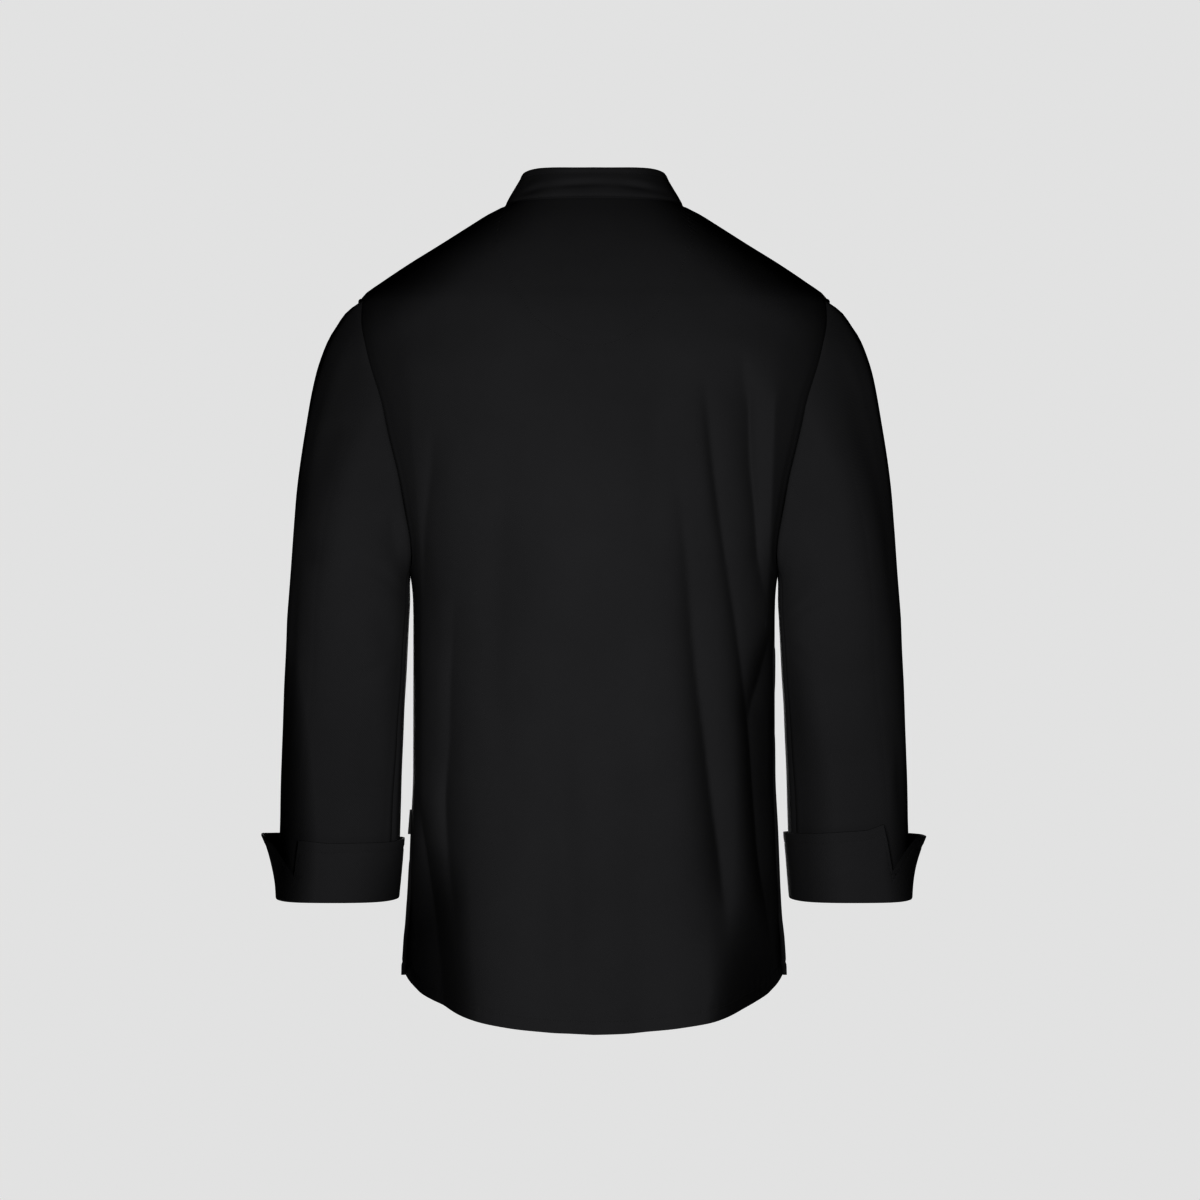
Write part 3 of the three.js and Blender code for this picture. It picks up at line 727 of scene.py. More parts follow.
def front_domain(side, count):
    edge_turn, edge_down = front_edge()
    share = arc(bare_torso(edge_turn, edge_down)[None], 1)[0]
    share = (share / share[-1])[:, None]
    top_turn = 180 + float(turn_at_x(OVERLAP_X, 76))
    top_down = float(read(NECKLINE, "turn", "down", top_turn))

    def spread(turn):
        return np.clip((turn - SHOULDER_TURN) / (top_turn - SHOULDER_TURN), 0, 1) ** 1.7

    across = crowded(count, True, True)[None]
    edge = edge_turn[:, None]
    front_down = blend(top_down, SIDE_HEM_DOWN + 1, share)
    near = blend(edge, top_turn, across)
    passed = (spread(near) - spread(edge)) / (1 - spread(edge))
    neck_turn = blend(SHOULDER_TURN, top_turn, across)
    scoop = read(NECKLINE, "turn", "down", neck_turn) - top_down * spread(neck_turn)
    down = blend(edge_down[:, None], front_down, passed) + scoop * (1 - share) ** 5
    front_turn = 180 + turn_at_x(OVERLAP_X, np.maximum(down, 76))
    return side * blend(edge, front_turn, across), down


def seam_dip(distance):
    """A seam sinks, with the turned-in cloth standing up softly beside it."""
    return 0.95 * np.exp(-((distance / 2.0) ** 2)) - 0.4 * np.exp(-(((distance - 6) / 2.6) ** 2))


def hem_relief(distance, along, hem):
    """A turned-up hem: thicker below its stitching, pulled in and puckered along it."""
    thick = -0.45 * smooth((hem - distance) / 2)
    groove = 0.55 * np.exp(-(((distance - hem) / 1.5) ** 2))
    beat = np.sin(along * 2 * math.pi / 9.5 + 1.3 * np.sin(along / 23)) * np.cos(along / 17.0)
    pucker = 0.3 * beat * np.exp(-(((distance - hem) / 8) ** 2))
    return thick + groove + pucker


def neck_patch_relief(x, down):
    """The thread of the neck patch pulls the back in along a half-moon."""
    near = np.full_like(x, 1e9)
    fine = np.linspace(0, 1, 160)
    path_down = blend(6, 138, np.sin(fine * math.pi / 2))
    path_x = read(NECK_PATCH, "down", "half_width", path_down)
    for px, pd in zip(path_x, path_down):
        near = np.minimum(near, (np.abs(x) - px) ** 2 + (down - pd) ** 2)
    return 0.8 * np.exp(-near / 3.6)


def torso_surface(turn, down, lift=0.0):
    bare = bare_torso(turn, down)
    return folded(turn, down, bare) + torso_normal(turn, down) * lift


def front_lift(turn, down):
    x = bare_torso(turn, down)[..., 0]
    return millimetres("overlap_lift") * smooth((turn - 92) / 30) * smooth((134 - x) / 30)


def cloth_object(name, points, outward, thickness, material):
    """A sheet of cloth through a grid of points, given its thickness inwards."""
    rows, cols = points.shape[:2]
    shape = bmesh.new()
    bmesh.ops.create_grid(shape, x_segments=cols - 1, y_segments=rows - 1, size=1)
    flat = points.reshape(-1, 3)
    for vertex, place in zip(shape.verts, (flat * 0.001).tolist()):
        vertex.co = place
    shape.normal_update()
    facing = sum(f.normal.dot(Vector(outward[f.verts[0].index // cols, f.verts[0].index % cols])) for f in shape.faces)
    if facing < 0:
        bmesh.ops.reverse_faces(shape, faces=shape.faces)
    for edge in shape.edges:
        edge.smooth = not edge.is_boundary
    mesh = bpy.data.meshes.new(name)
    shape.to_mesh(mesh)
    shape.free()
    across = arc(points, 1)
    across = across - across[:, cols // 2 : cols // 2 + 1]
    along = arc(points, 0)
    laid_flat = np.stack([across, along], axis=-1).reshape(-1, 2) * 0.001
    corner = np.zeros(len(mesh.loops), int)
    mesh.loops.foreach_get("vertex_index", corner)
    layer = mesh.uv_layers.new(name="cloth")
    layer.data.foreach_set("uv", laid_flat[corner].ravel())
    return finish_piece(name, mesh, material, thickness)


def finish_piece(name, mesh, material, thickness=0.0):
    for face in mesh.polygons:
        face.use_smooth = True
    piece = bpy.data.objects.new(name, mesh)
    bpy.context.scene.collection.objects.link(piece)
    mesh.materials.append(material)
    if thickness:
        wall = piece.modifiers.new("Cloth thickness", "SOLIDIFY")
        wall.thickness = thickness
        wall.offset = -1
        wall.use_quality_normals = True
    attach(piece, "root")
    return piece


def linear(hexadecimal):
    parts = [int(hexadecimal[i : i + 2], 16) / 255 for i in (1, 3, 5)]
    return [c / 12.92 if c <= 0.04045 else ((c + 0.055) / 1.055) ** 2.4 for c in parts] + [1.0]


def add_node(tree, kind, settings=None, inputs=None):
    node = tree.nodes.new(kind)
    for name, value in (settings or {}).items():
        setattr(node, name, value)
    for name, value in (inputs or {}).items():
        if isinstance(value, bpy.types.NodeSocket):
            tree.links.new(value, node.inputs[name])
        else:
            node.inputs[name].default_value = value
    return node


def twill_cloth():
    """Piece-dyed polyester and cotton twill: a dull near-black with fine diagonal ribs, faintly
    paler where it has rubbed, with no gloss."""
    if "black_twill_cloth" in bpy.data.materials:
        return bpy.data.materials["black_twill_cloth"]
    material = bpy.data.materials.new("black_twill_cloth")
    material.use_nodes = True
    tree = material.node_tree
    shader = tree.nodes["Principled BSDF"]
    place = add_node(tree, "ShaderNodeTexCoord")
    cloud = add_node(
        tree,
        "ShaderNodeTexNoise",
        inputs={"Vector": place.outputs["Object"], "Scale": 9.0, "Detail": 4.0, "Roughness": 0.6},
    )
    tone = add_node(tree, "ShaderNodeMix", {"data_type": "RGBA"})
    tree.links.new(cloud.outputs["Fac"], tone.inputs["Factor"])
    base = linear(colours().twill)
    tone.inputs["A"].default_value = [c * 0.86 for c in base[:3]] + [1]
    tone.inputs["B"].default_value = [c * 1.14 for c in base[:3]] + [1]
    tree.links.new(tone.outputs["Result"], shader.inputs["Base Color"])
    # The ribs are 1.1 mm apart, twice the real spacing, so that they show as a fine grain.
    ribs = add_node(
        tree,
        "ShaderNodeTexWave",
        {"wave_type": "BANDS", "bands_direction": "DIAGONAL", "wave_profile": "SIN"},
        {"Vector": place.outputs["UV"], "Scale": 0.314 / 0.0011, "Distortion": 0.6, "Detail": 1.0},
    )
    yarn = add_node(
        tree,
        "ShaderNodeTexNoise",
        inputs={"Vector": place.outputs["UV"], "Scale": 900.0, "Detail": 2.0},
    )
    height = add_node(tree, "ShaderNodeMath", {"operation": "MULTIPLY_ADD"}, {1: 0.6})
    tree.links.new(yarn.outputs["Fac"], height.inputs[0])
    tree.links.new(ribs.outputs["Fac"], height.inputs[2])
    bump = add_node(
        tree, "ShaderNodeBump", inputs={"Height": height.outputs[0], "Strength": 0.3, "Distance": 0.0002}
    )
    tree.links.new(bump.outputs["Normal"], shader.inputs["Normal"])
    shader.inputs["Roughness"].default_value = 0.92
    shader.inputs["Specular IOR Level"].default_value = 0.05
    shader.inputs["IOR"].default_value = 1.45
    return material


def plain_material(name, colour, roughness, specular):
    if name in bpy.data.materials:
        return bpy.data.materials[name]
    material = bpy.data.materials.new(name)
    material.use_nodes = True
    shader = material.node_tree.nodes["Principled BSDF"]
    shader.inputs["Base Color"].default_value = linear(colour)
    shader.inputs["Roughness"].default_value = roughness
    shader.inputs["Specular IOR Level"].default_value = specular
    return material


def spun_thread():
    """Spun polyester sewing thread: a touch smoother than the cloth."""
    return plain_material("black_spun_thread", colours().thread, 0.7, 0.35)


def woven_tape():
    """Closely woven folded tape: flat, dull and darker than the twill."""
    return plain_material("black_woven_tape", colours().tape, 0.8, 0.3)


def moulded_plastic():
    """Moulded polyester button: smooth and softly shining."""
    return plain_material("black_moulded_button", colours().button, 0.5, 0.45)


def stitch_run(shape, path, outward, pitch, length, thick):
    """A run of stitches: a short rounded bead of thread at each step along the path."""
    reach = arc(path[None], 1)[0]
    count = max(int(reach[-1] // pitch), 1)
    start = (reach[-1] - (count - 1) * pitch) / 2
    for i in range(count):
        middle = start + i * pitch
        ends = [np.array([np.interp(middle + s * length / 2, reach, path[:, k]) for k in range(3)]) for s in (-1, 1)]
        up = np.array([np.interp(middle, reach, outward[:, k]) for k in range(3)])
        along = Vector(ends[1] - ends[0])
        if along.length < 1e-6:
            continue
        along.normalize()
        normal = Vector(up)
        side = normal.cross(along).normalized()
        normal = along.cross(side)
        turned = Matrix((along, side, normal)).transposed().to_4x4()
        place = Vector((ends[0] + ends[1]) / 2 + up * thick * 0.15) * 0.001
        grown = Matrix.Diagonal((length / 2 * 0.001, thick / 2 * 0.001, thick / 2 * 0.001, 1))
        bmesh.ops.create_icosphere(
            shape, subdivisions=1, radius=1, matrix=Matrix.Translation(place) @ turned @ grown
        )


def thread_piece(name, runs, pitch=None):
    shape = bmesh.new()
    step = pitch or millimetres("stitch_pitch")
    length = millimetres("stitch_length") * step / millimetres("stitch_pitch")
    for path, outward in runs:
        stitch_run(shape, path, outward, step, length, millimetres("thread"))
    mesh = bpy.data.meshes.new(name)
    shape.to_mesh(mesh)
    shape.free()
    return finish_piece(name, mesh, spun_thread())


def row_at(points, normals, distance, want):
    """The path across a panel where the distance from an edge has this value."""
    path = []
    outward = []
    for j in range(points.shape[1]):
        order = np.argsort(distance[:, j])
        d = distance[order, j]
        path.append([np.interp(want, d, points[order, j, k]) for k in range(3)])
        outward.append([np.interp(want, d, normals[order, j, k]) for k in range(3)])
    return np.array(path), unit(np.array(outward))


SEWN = {}


def remember(name, points, normals):
    SEWN[name] = (points, normals)


def settled(path, name, normal, rise):
    """Lay a path on the cloth of a panel that is already made."""
    cloth = SEWN[name][0].reshape(-1, 3)
    laid = path.copy()
    for k in range(len(path)):
        gap = np.hypot(cloth[:, 0] - path[k, 0], cloth[:, 2] - path[k, 2])
        near = np.argsort(gap)[:4]
        weight = 1 / (gap[near] ** 2 + 0.05)
        laid[k, 1] = np.sum(cloth[near, 1] * weight) / np.sum(weight)
    return laid + normal * rise


def torso_panel(name, turn, down, lift, hem, neck_patch=False, free_edge=False):
    bare = bare_torso(turn, down)
    normal = torso_normal(turn, down)
    from_top = arc(bare, 0)
    from_bottom = from_top[-1:] - from_top
    from_first = arc(bare, 1)
    from_last = from_first[:, -1:] - from_first
    nearest = np.minimum(from_first, from_first if free_edge else from_last)
    depth = unevenness(bare, smooth(nearest / 45))
    seam_share = blend(0.3, 1, smooth((down - 130) / 130))
    depth += seam_dip(from_first) * seam_share
    if free_edge:
        depth += 0.5 * np.exp(-(((from_last - 6) / 1.4) ** 2)) - 0.3 * smooth((6 - from_last) / 2)
    else:
        depth += seam_dip(from_last) * seam_share
    depth += 1.2 * np.exp(-((from_top / 2.2) ** 2))
    depth += hem_relief(from_bottom, from_first, hem)
    if neck_patch:
        depth += neck_patch_relief(bare[..., 0], down)
    ease = np.maximum(smooth(nearest / 16), smooth((down - 350) / 40))
    points = folded(turn, down, bare, ease) + normal * (lift - depth)[..., None]
    points[0, :, 2] += 1.6 * smooth(nearest[0] / 14)
    points[1, :, 2] += 0.5 * smooth(nearest[1] / 14)
    material = twill_cloth()
    piece = cloth_object(name, points, normal, sizes().cloth, material)
    remember(name, points, normal)
    remember(name + " distances", from_bottom, from_last)
    return piece


class JACKET_OT_back(bpy.types.Operator):
    """Build the back panel with its folds, neck patch line and curved hem"""

    bl_idname = "jacket.back"
    bl_label = "Back"

    def execute(self, context):
        turn, down = back_domain(236)
        piece = torso_panel("back_panel", turn, down, np.zeros_like(turn), millimetres("hem"), neck_patch=True)
        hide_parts("back")
        return {"FINISHED"}


class JACKET_OT_fronts(bpy.types.Operator):
    """Build the two fronts, the left one lapping over the right"""

    bl_idname = "jacket.fronts"
    bl_label = "Fronts"

    def execute(self, context):
        for name, side in (("left", 1), ("right", -1)):
            turn, down = front_domain(side, 100)
            lift = front_lift(turn, down) if side > 0 else np.zeros_like(turn)
            title = name + "_front"
            piece = torso_panel(title, turn, down, lift, millimetres("hem"), free_edge=True)
            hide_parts("front_" + name)
        return {"FINISHED"}


def neck_point(turn):
    return bare_torso(turn, read(NECKLINE, "turn", "down", np.abs(turn)))


def collar_point(turn, height, set_in):
    turn, height, set_in = np.broadcast_arrays(turn, height, set_in)
    place = neck_point(turn)
    along = unit(neck_point(turn + 1.5) - neck_point(turn - 1.5))
    inward = np.stack([-place[..., 0], -12 - place[..., 1], np.zeros_like(turn)], axis=-1)
    inward -= along * np.sum(inward * along, axis=-1, keepdims=True)
    inward[..., 2] = 0
    inward = unit(inward)
    up = np.zeros_like(place)
    up[..., 2] = 1
    up -= along * (np.sum(up * along, axis=-1, keepdims=True) * 0.6)
    up = unit(up)
    end = smooth((COLLAR_END_TURN + 2 - np.abs(turn)) / 20)
    reach = height * blend(0.72, 1, end)
    lean = read(COLLAR_LEAN, "height", "inward", reach)
    reach = reach * (1 + 0.085 * smooth(np.abs(turn) / 62) * smooth((118 - np.abs(turn)) / 30))
    at_side = smooth((np.abs(turn) - 20) / 40) * smooth((130 - np.abs(turn)) / 40)
    lean = lean + at_side * 6.2 * np.clip(reach / 33, 0, 1) ** 0.75
    base = blend(0.5, 2.4, smooth((np.abs(turn) - 135) / 20))
    # In front, the foot of the band is tucked down inside the neckline.
    tuck = smooth(-height / 2) * smooth((np.abs(turn) - 105) / 25)
    lean = lean + 1.6 * tuck
    place = place + up * (base + reach * 0.97 - 4.6 * tuck)[..., None]
    more = blend(1, 1.25, smooth((np.abs(turn) - 100) / 60))
    return place + inward * (lean * more + set_in)[..., None]


class JACKET_OT_collar(bpy.types.Operator):
    """Build the doubled stand collar, rounded at its top edge and front ends"""

    bl_idname = "jacket.collar"
    bl_label = "Collar"

    def execute(self, context):
        height = millimetres("collar_height")
        thick = millimetres("collar_cloth")
        share = np.linspace(1, -1, 241)
        turn = COLLAR_END_TURN * np.sign(share) * np.abs(share) ** 0.92
        rise = np.concatenate([np.linspace(-2, 2, 6), np.linspace(3, height - 3, 20), np.linspace(height - 2.4, height, 5)])
        top = np.sqrt(np.clip(1 - ((rise - (height - 1.2)) / 1.2) ** 2, 0, 1))
        half = np.where(rise > height - 1.2, thick / 2 * top, thick / 2)
        end = np.sqrt(np.clip((COLLAR_END_TURN - np.abs(turn)) / 1.6, 0, 1))
        outer_in = thick / 2 - half[:, None] * end[None]
        inner_in = thick / 2 + half[:, None] * end[None]
        seam = 0.9 * np.exp(-(((rise - 1.6) / 1.5) ** 2)) + 0.35 * np.exp(-(((rise - height + 5) / 1.1) ** 2))
        buckle = 13.5 - 6 * smooth(np.abs(turn[None]) / 75)
        sunk = 1.5 * np.exp(-(((rise[:, None] - buckle) / 3.0) ** 2))
        sunk -= 0.5 * np.exp(-(((rise[:, None] - buckle - 6.5) / 3.2) ** 2))
        sunk *= smooth((72 - np.abs(turn[None])) / 34) * (1 + 0.35 * np.sin(turn[None] / 6.5))
        wave = 0.55 * np.sin(turn / 7.0 + np.sin(turn / 17.0))[None] * np.sin(rise / height * math.pi)[:, None]
        outer = collar_point(turn[None], rise[:, None], outer_in + seam[:, None] + wave + sunk)
        inner = collar_point(turn[None], rise[::-1, None], inner_in[::-1] + wave[::-1])
        points = np.concatenate([outer, inner[1:], outer[:1]])
        rows, cols = points.shape[:2]
        shape = bmesh.new()
        bmesh.ops.create_grid(shape, x_segments=cols - 1, y_segments=rows - 1, size=1)
        for vertex, place in zip(shape.verts, (points.reshape(-1, 3) * 0.001).tolist()):
            vertex.co = place
        mesh = bpy.data.meshes.new("stand_collar")
        layer = shape.loops.layers.uv.new("cloth")
        across = arc(points, 1)
        along = arc(points, 0)
        shape.verts.index_update()
        for face in shape.faces:
            for loop in face.loops:
                i, j = divmod(loop.vert.index, cols)
                loop[layer].uv = (across[i, j] * 0.001, along[i, j] * 0.001)
        bmesh.ops.remove_doubles(shape, verts=shape.verts, dist=1e-6)
        bmesh.ops.dissolve_degenerate(shape, dist=1e-7, edges=shape.edges)
        bmesh.ops.recalc_face_normals(shape, faces=shape.faces)
        shape.to_mesh(mesh)
        shape.free()
        piece = finish_piece("stand_collar", mesh, twill_cloth())
        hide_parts("collar")
        away = unit(outer - inner[::-1])
        low = int(np.argmin(np.abs(rise - 2.2)))
        high = int(np.argmin(np.abs(rise - height + 5)))
        remember("collar lines", [outer[low], outer[high]], [away[low], away[high]])
        return {"FINISHED"}


def tube(way, down, clear=0.0):
    way, down, clear = np.broadcast_arrays(np.asarray(way, float), np.asarray(down, float), np.asarray(clear, float))
    outer = read(SLEEVE, "down", "outer_x", down)
    inner = read(SLEEVE, "down", "inner_x", down)
    depth = read(SLEEVE, "down", "half_depth", down)
    middle = read(SLEEVE, "down", "middle_y", down)
    half = (outer - inner) / 2
    cos = np.cos(np.radians(way))
    sin = np.sin(np.radians(way))
    at_outer = read(SLEEVE, "down", "outer_round", down)
    at_inner = read(SLEEVE, "down", "inner_round", down)
    power = blend(at_inner, at_outer, smooth(0.5 + cos * 0.9))
    power = np.where(sin > 0, power, 0.94)
    normal = unit(np.stack([cos / half, sin / depth, np.zeros_like(cos)], axis=-1))
    x = (outer + inner) / 2 + half * signed_power(cos, 0.94)
    y = middle + depth * signed_power(sin, power)
    return np.stack([x, y, -down], axis=-1) + normal * clear[..., None]


def arm_loop(count):
    """The armhole, from the top of the shoulder down the back and up the front."""
    ridge = SHOULDER_DOWN + 0.9
    back_turn, back_down = stops(back_armhole, np.linspace(0, 1, count))
    front_turn, front_down = stops(front_armhole, np.linspace(0, 1, count))
    over_back = np.linspace(90, SHOULDER_TURN, 5)[:-1]
    over_front = np.linspace(90, 102, 5)[:-1]
    back_turn = np.concatenate([over_back, back_turn])
    back_down = np.concatenate([np.linspace(ridge, SHOULDER_DOWN, 5)[:-1], back_down])
    front_turn = np.concatenate([over_front, front_turn])
    front_down = np.concatenate([SHOULDER_DOWN + np.array([0.9, 1.6, 2.4, 3.6]), front_down])
    back = bare_torso(back_turn, back_down)
    front = bare_torso(front_turn, front_down)
    back_arc = arc(back[None], 1)[0]
    front_arc = arc(front[None], 1)[0]
    back_way = 180 * back_arc / back_arc[-1]
    front_way = 360 - 180 * front_arc / front_arc[-1]
    way = np.concatenate([back_way, front_way[::-1][1:]])
    down = np.concatenate([back_down, front_down[::-1][1:]])
    place = np.concatenate([back, front[::-1][1:]])
    return way, down, place


def lowered_way(way, down):
    elbow = read(SLEEVE_SEAMS, "down", "elbow", down)
    inseam = read(SLEEVE_SEAMS, "down", "inseam", down)
    rise = smooth(way / ELBOW_WAY)
    across = smooth((way - ELBOW_WAY) / 109)
    fall = smooth((way - 172) / 78)
    return way + np.where(way < ELBOW_WAY, elbow * rise, np.where(way < 172, blend(elbow, inseam, across), inseam * (1 - fall)))


def dents(rows, way, down):
    total = np.zeros(np.broadcast(way, down).shape)
    for middle_way, middle_down, spread, height, depth, slant in rows:
        off = way - middle_way
        a = off / spread
        b = (down - middle_down - off * slant) / height
        total += depth * np.exp(-a * a - b * b)
    return total


def grid_normals(points, outward_from):
    """Normals of a grid of points, turned away from the line given for each row."""
    down_row = np.gradient(points, axis=0)
    around = np.gradient(points, axis=1)
    around[:, 0] = around[:, -1] = points[:, 1] - points[:, -2]
    normal = unit(np.cross(down_row, around))
    facing = np.sum(normal * (points - outward_from), axis=-1)
    return np.where(np.median(facing) < 0, -normal, normal)


def sleeve_points(name):
    way, start_down, start = arm_loop(70)
    fine_way = np.concatenate([np.linspace(0, 360, 181)])
    around = [np.interp(fine_way, way, start[:, k]) for k in range(3)]
    start = np.stack(around, axis=-1)
    start_down = -start[:, 2]
    way = fine_way
    share = crowded(44, True, False)[:, None]
    power = blend(5.5, 2.2, smooth((np.abs(way - 180) - 15) / 40))[None]
    cap_down = blend(start_down[None], CAP_END_DOWN, share)
    from_ridge = np.minimum(way, 360 - way)
    turning = np.maximum(power, blend(power, 8.0, smooth((85 - from_ridge[None]) / 45)))
    rest = np.stack([(1 - share) ** power, (1 - share) ** turning, (1 - share) ** power], axis=-1)
    cap = tube(way[None], cap_down) + (start - tube(way, start_down))[None] * rest
    arm_down = blend(CAP_END_DOWN, SLEEVE_END_DOWN, np.linspace(0, 1, 74)[1:])[:, None]
    arm = tube(lowered_way(way[None], arm_down), arm_down)
    points = np.concatenate([cap, arm])
    down = -points[..., 2]
    spine = np.stack([np.full(len(points), 232.0), np.zeros(len(points)), points[:, 0, 2]], axis=-1)[:, None]
    normal = grid_normals(points, spine)
    fade = smooth(arc(points, 0) / 28) * smooth((610 - down) / 40)
    depth = dents(ARM_DENTS[name], way[None], down) * fade
    around_arc = arc(points, 1)
    for seam_way, strength in ((ELBOW_WAY, 0.14), (INSEAM_WAY, 1.3)):
        column = int(np.argmin(np.abs(way - seam_way)))
        distance = np.abs(around_arc - around_arc[:, column : column + 1])
        depth += seam_dip(distance) * strength * smooth((down - 150) / 200)
    depth += seam_dip(arc(points, 0)) * 0.4
    depth += 0.5 * ripple(points * np.array([1.3, 1.3, 0.7]), 30.0, 21.0) * fade
    depth[:, -1] = depth[:, 0]
    points = points - normal * depth[..., None]
    # The seam allowance turns in under the panels, further over the top of the shoulder.
    over = np.exp(-((from_ridge / 26) ** 2))[:, None]
    turned_in = points[0] + unit(points[0] - points[2]) * (2.6 + 4.4 * over) - normal[0] * (1.1 + 0.9 * over)
    turned_in[:, 0] -= 3.0 * over[:, 0]
    points = np.concatenate([turned_in[None], points])
    normal = np.concatenate([normal[:1], normal])
    return way, points, normal


class JACKET_OT_sleeves(bpy.types.Operator):
    """Build both sleeves, each from a top and an under piece"""

    bl_idname = "jacket.sleeves"
    bl_label = "Sleeves"

    def execute(self, context):
        for name, side in (("left", 1), ("right", -1)):
            way, points, normal = sleeve_points(name)
            elbow = int(np.argmin(np.abs(way - ELBOW_WAY)))
            inseam = int(np.argmin(np.abs(way - INSEAM_WAY)))
            last = len(way) - 1
            under = np.arange(elbow, inseam + 1)
            top = np.concatenate([np.arange(inseam, last), np.arange(0, elbow + 1)])
            mirror = np.array([side, 1, 1])
            for kind, columns_used, flat, area in (("under", under, (0.125, 0.5), 0.042), ("top", top, (0.29, 0.57), 0.127)):
                strip = points[:, columns_used] * mirror
                outward = normal[:, columns_used] * mirror
                inset = unit(strip[:, 1] - strip[:, 0]) * 0.03
                strip[:, 0] += inset
                strip[:, -1] += unit(strip[:, -2] - strip[:, -1]) * 0.03
                title = name + "_sleeve_" + kind
                piece = cloth_object(title, strip, outward, sizes().cloth, twill_cloth())
                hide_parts("sleeve_" + name + "_" + kind)
        return {"FINISHED"}


def cuff_flare(way, height):
    turned = np.where(way > 180, way - 360, way) + 8
    out = np.maximum(0, np.cos(np.radians(turned))) ** 3
    return height * (1.8 + 13.5 * out * height)


def straight(table, key, name, at):
    return np.interp(at, table[key], table[name])


def cuff_points(edge, side):
    knots = edge["way"]
    ways = np.unique(np.round(np.concatenate([np.arange(0, 361, 2.5), knots, knots[2] + [-1.2, -0.5, 0.5, 1.2]]), 3))
    ways = ways[(ways >= 0) & (ways <= 360)]
    top = straight(edge, "way", "down", ways)
    fold = CUFF_FOLD_DOWN - 1.6 * np.abs(np.cos(np.radians(ways))) ** 6
    tall = fold - 592
    share = np.concatenate([[0.0], crowded(26, False, True)[1:]])
    down = blend(fold[None] - 2.2, top[None], share[:, None])
    height = np.clip((fold[None] - down) / tall[None], 0, 1)
    clear = 2.5 + cuff_flare(ways[None], height)
    clear += 0.5 * ripple(tube(ways[None], down) + side * 40, 26.0, 55.0) * smooth(height * 3)
    from_edge = down - top[None]
    clear += 0.28 * smooth((9 - from_edge) / 2) - 0.45 * np.exp(-(((from_edge - 9) / 1.3) ** 2))
    foot_down = np.stack([fold, fold, fold - 0.25, fold - 1.0])
    foot_clear = np.stack([np.full_like(fold, c) for c in (-1.2, 1.0, 1.7, 2.3)])
    down = np.concatenate([foot_down, down])
    clear = np.concatenate([foot_clear, clear])
    points = tube(ways[None], down, clear)
    spine = np.stack([np.full(len(points), 241.0), np.full(len(points), -22.0), points[:, 0, 2]], axis=-1)[:, None]
    normal = grid_normals(points, spine)
    return ways, points * np.array([side, 1, 1]), normal * np.array([side, 1, 1]), down - top[None]


class JACKET_OT_cuffs(bpy.types.Operator):
    """Build both turned-back cuffs, each cut in a V at the elbow seam"""

    bl_idname = "jacket.cuffs"
    bl_label = "Cuffs"

    def execute(self, context):
        for name, side in (("left", 1), ("right", -1)):
            ways, points, normal, from_edge = cuff_points(CUFF_EDGE[name], side)
            title = name + "_cuff"
            piece = cloth_object(title, points, normal, sizes().cloth, twill_cloth())
            weld = piece.modifiers.new("Closed round", "WELD")
            weld.merge_threshold = 0.0001
            piece.modifiers.move(1, 0)
            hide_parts("cuff_" + name)
            path, outward = row_at(points[4:], normal[4:], from_edge[4:], 9.0)
            remember(title, path, outward)
        return {"FINISHED"}


class JACKET_OT_side_tab(bpy.types.Operator):
    """Build the small folded tape let into the left side seam"""

    bl_idname = "jacket.side_tab"
    bl_label = "Side tab"

    def execute(self, context):
        low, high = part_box("side_label")
        low = Vector(low)
        high = Vector(high)
        shape = bmesh.new()
        bmesh.ops.create_cube(shape, size=1)
        bmesh.ops.scale(shape, vec=(high.x - low.x + 0.003, 0.0014, high.z - low.z), verts=shape.verts)
        bmesh.ops.translate(shape, vec=(low + high) / 2 - Vector((0.0048, 0, 0)), verts=shape.verts)
        for vertex in shape.verts:
            if vertex.co.x > low.x:
                vertex.co.x += 0.0018 * (high.z - vertex.co.z) / (high.z - low.z)
        folded_edge = [e for e in shape.edges if min(v.co.x for v in e.verts) > low.x and abs(e.verts[0].co.y - e.verts[1].co.y) < 1e-5]
        bmesh.ops.bevel(
            shape,
            geom=folded_edge,
            offset=0.0006,
            offset_type="OFFSET",
            segments=4,
            profile=0.5,
            affect="EDGES",
            material=-1,
        )
        mesh = bpy.data.meshes.new("side_tab")
        shape.to_mesh(mesh)
        shape.free()
        piece = finish_piece("side_tab", mesh, woven_tape())
        for face in mesh.polygons:
            face.use_smooth = False
        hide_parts("side_label")
        return {"FINISHED"}


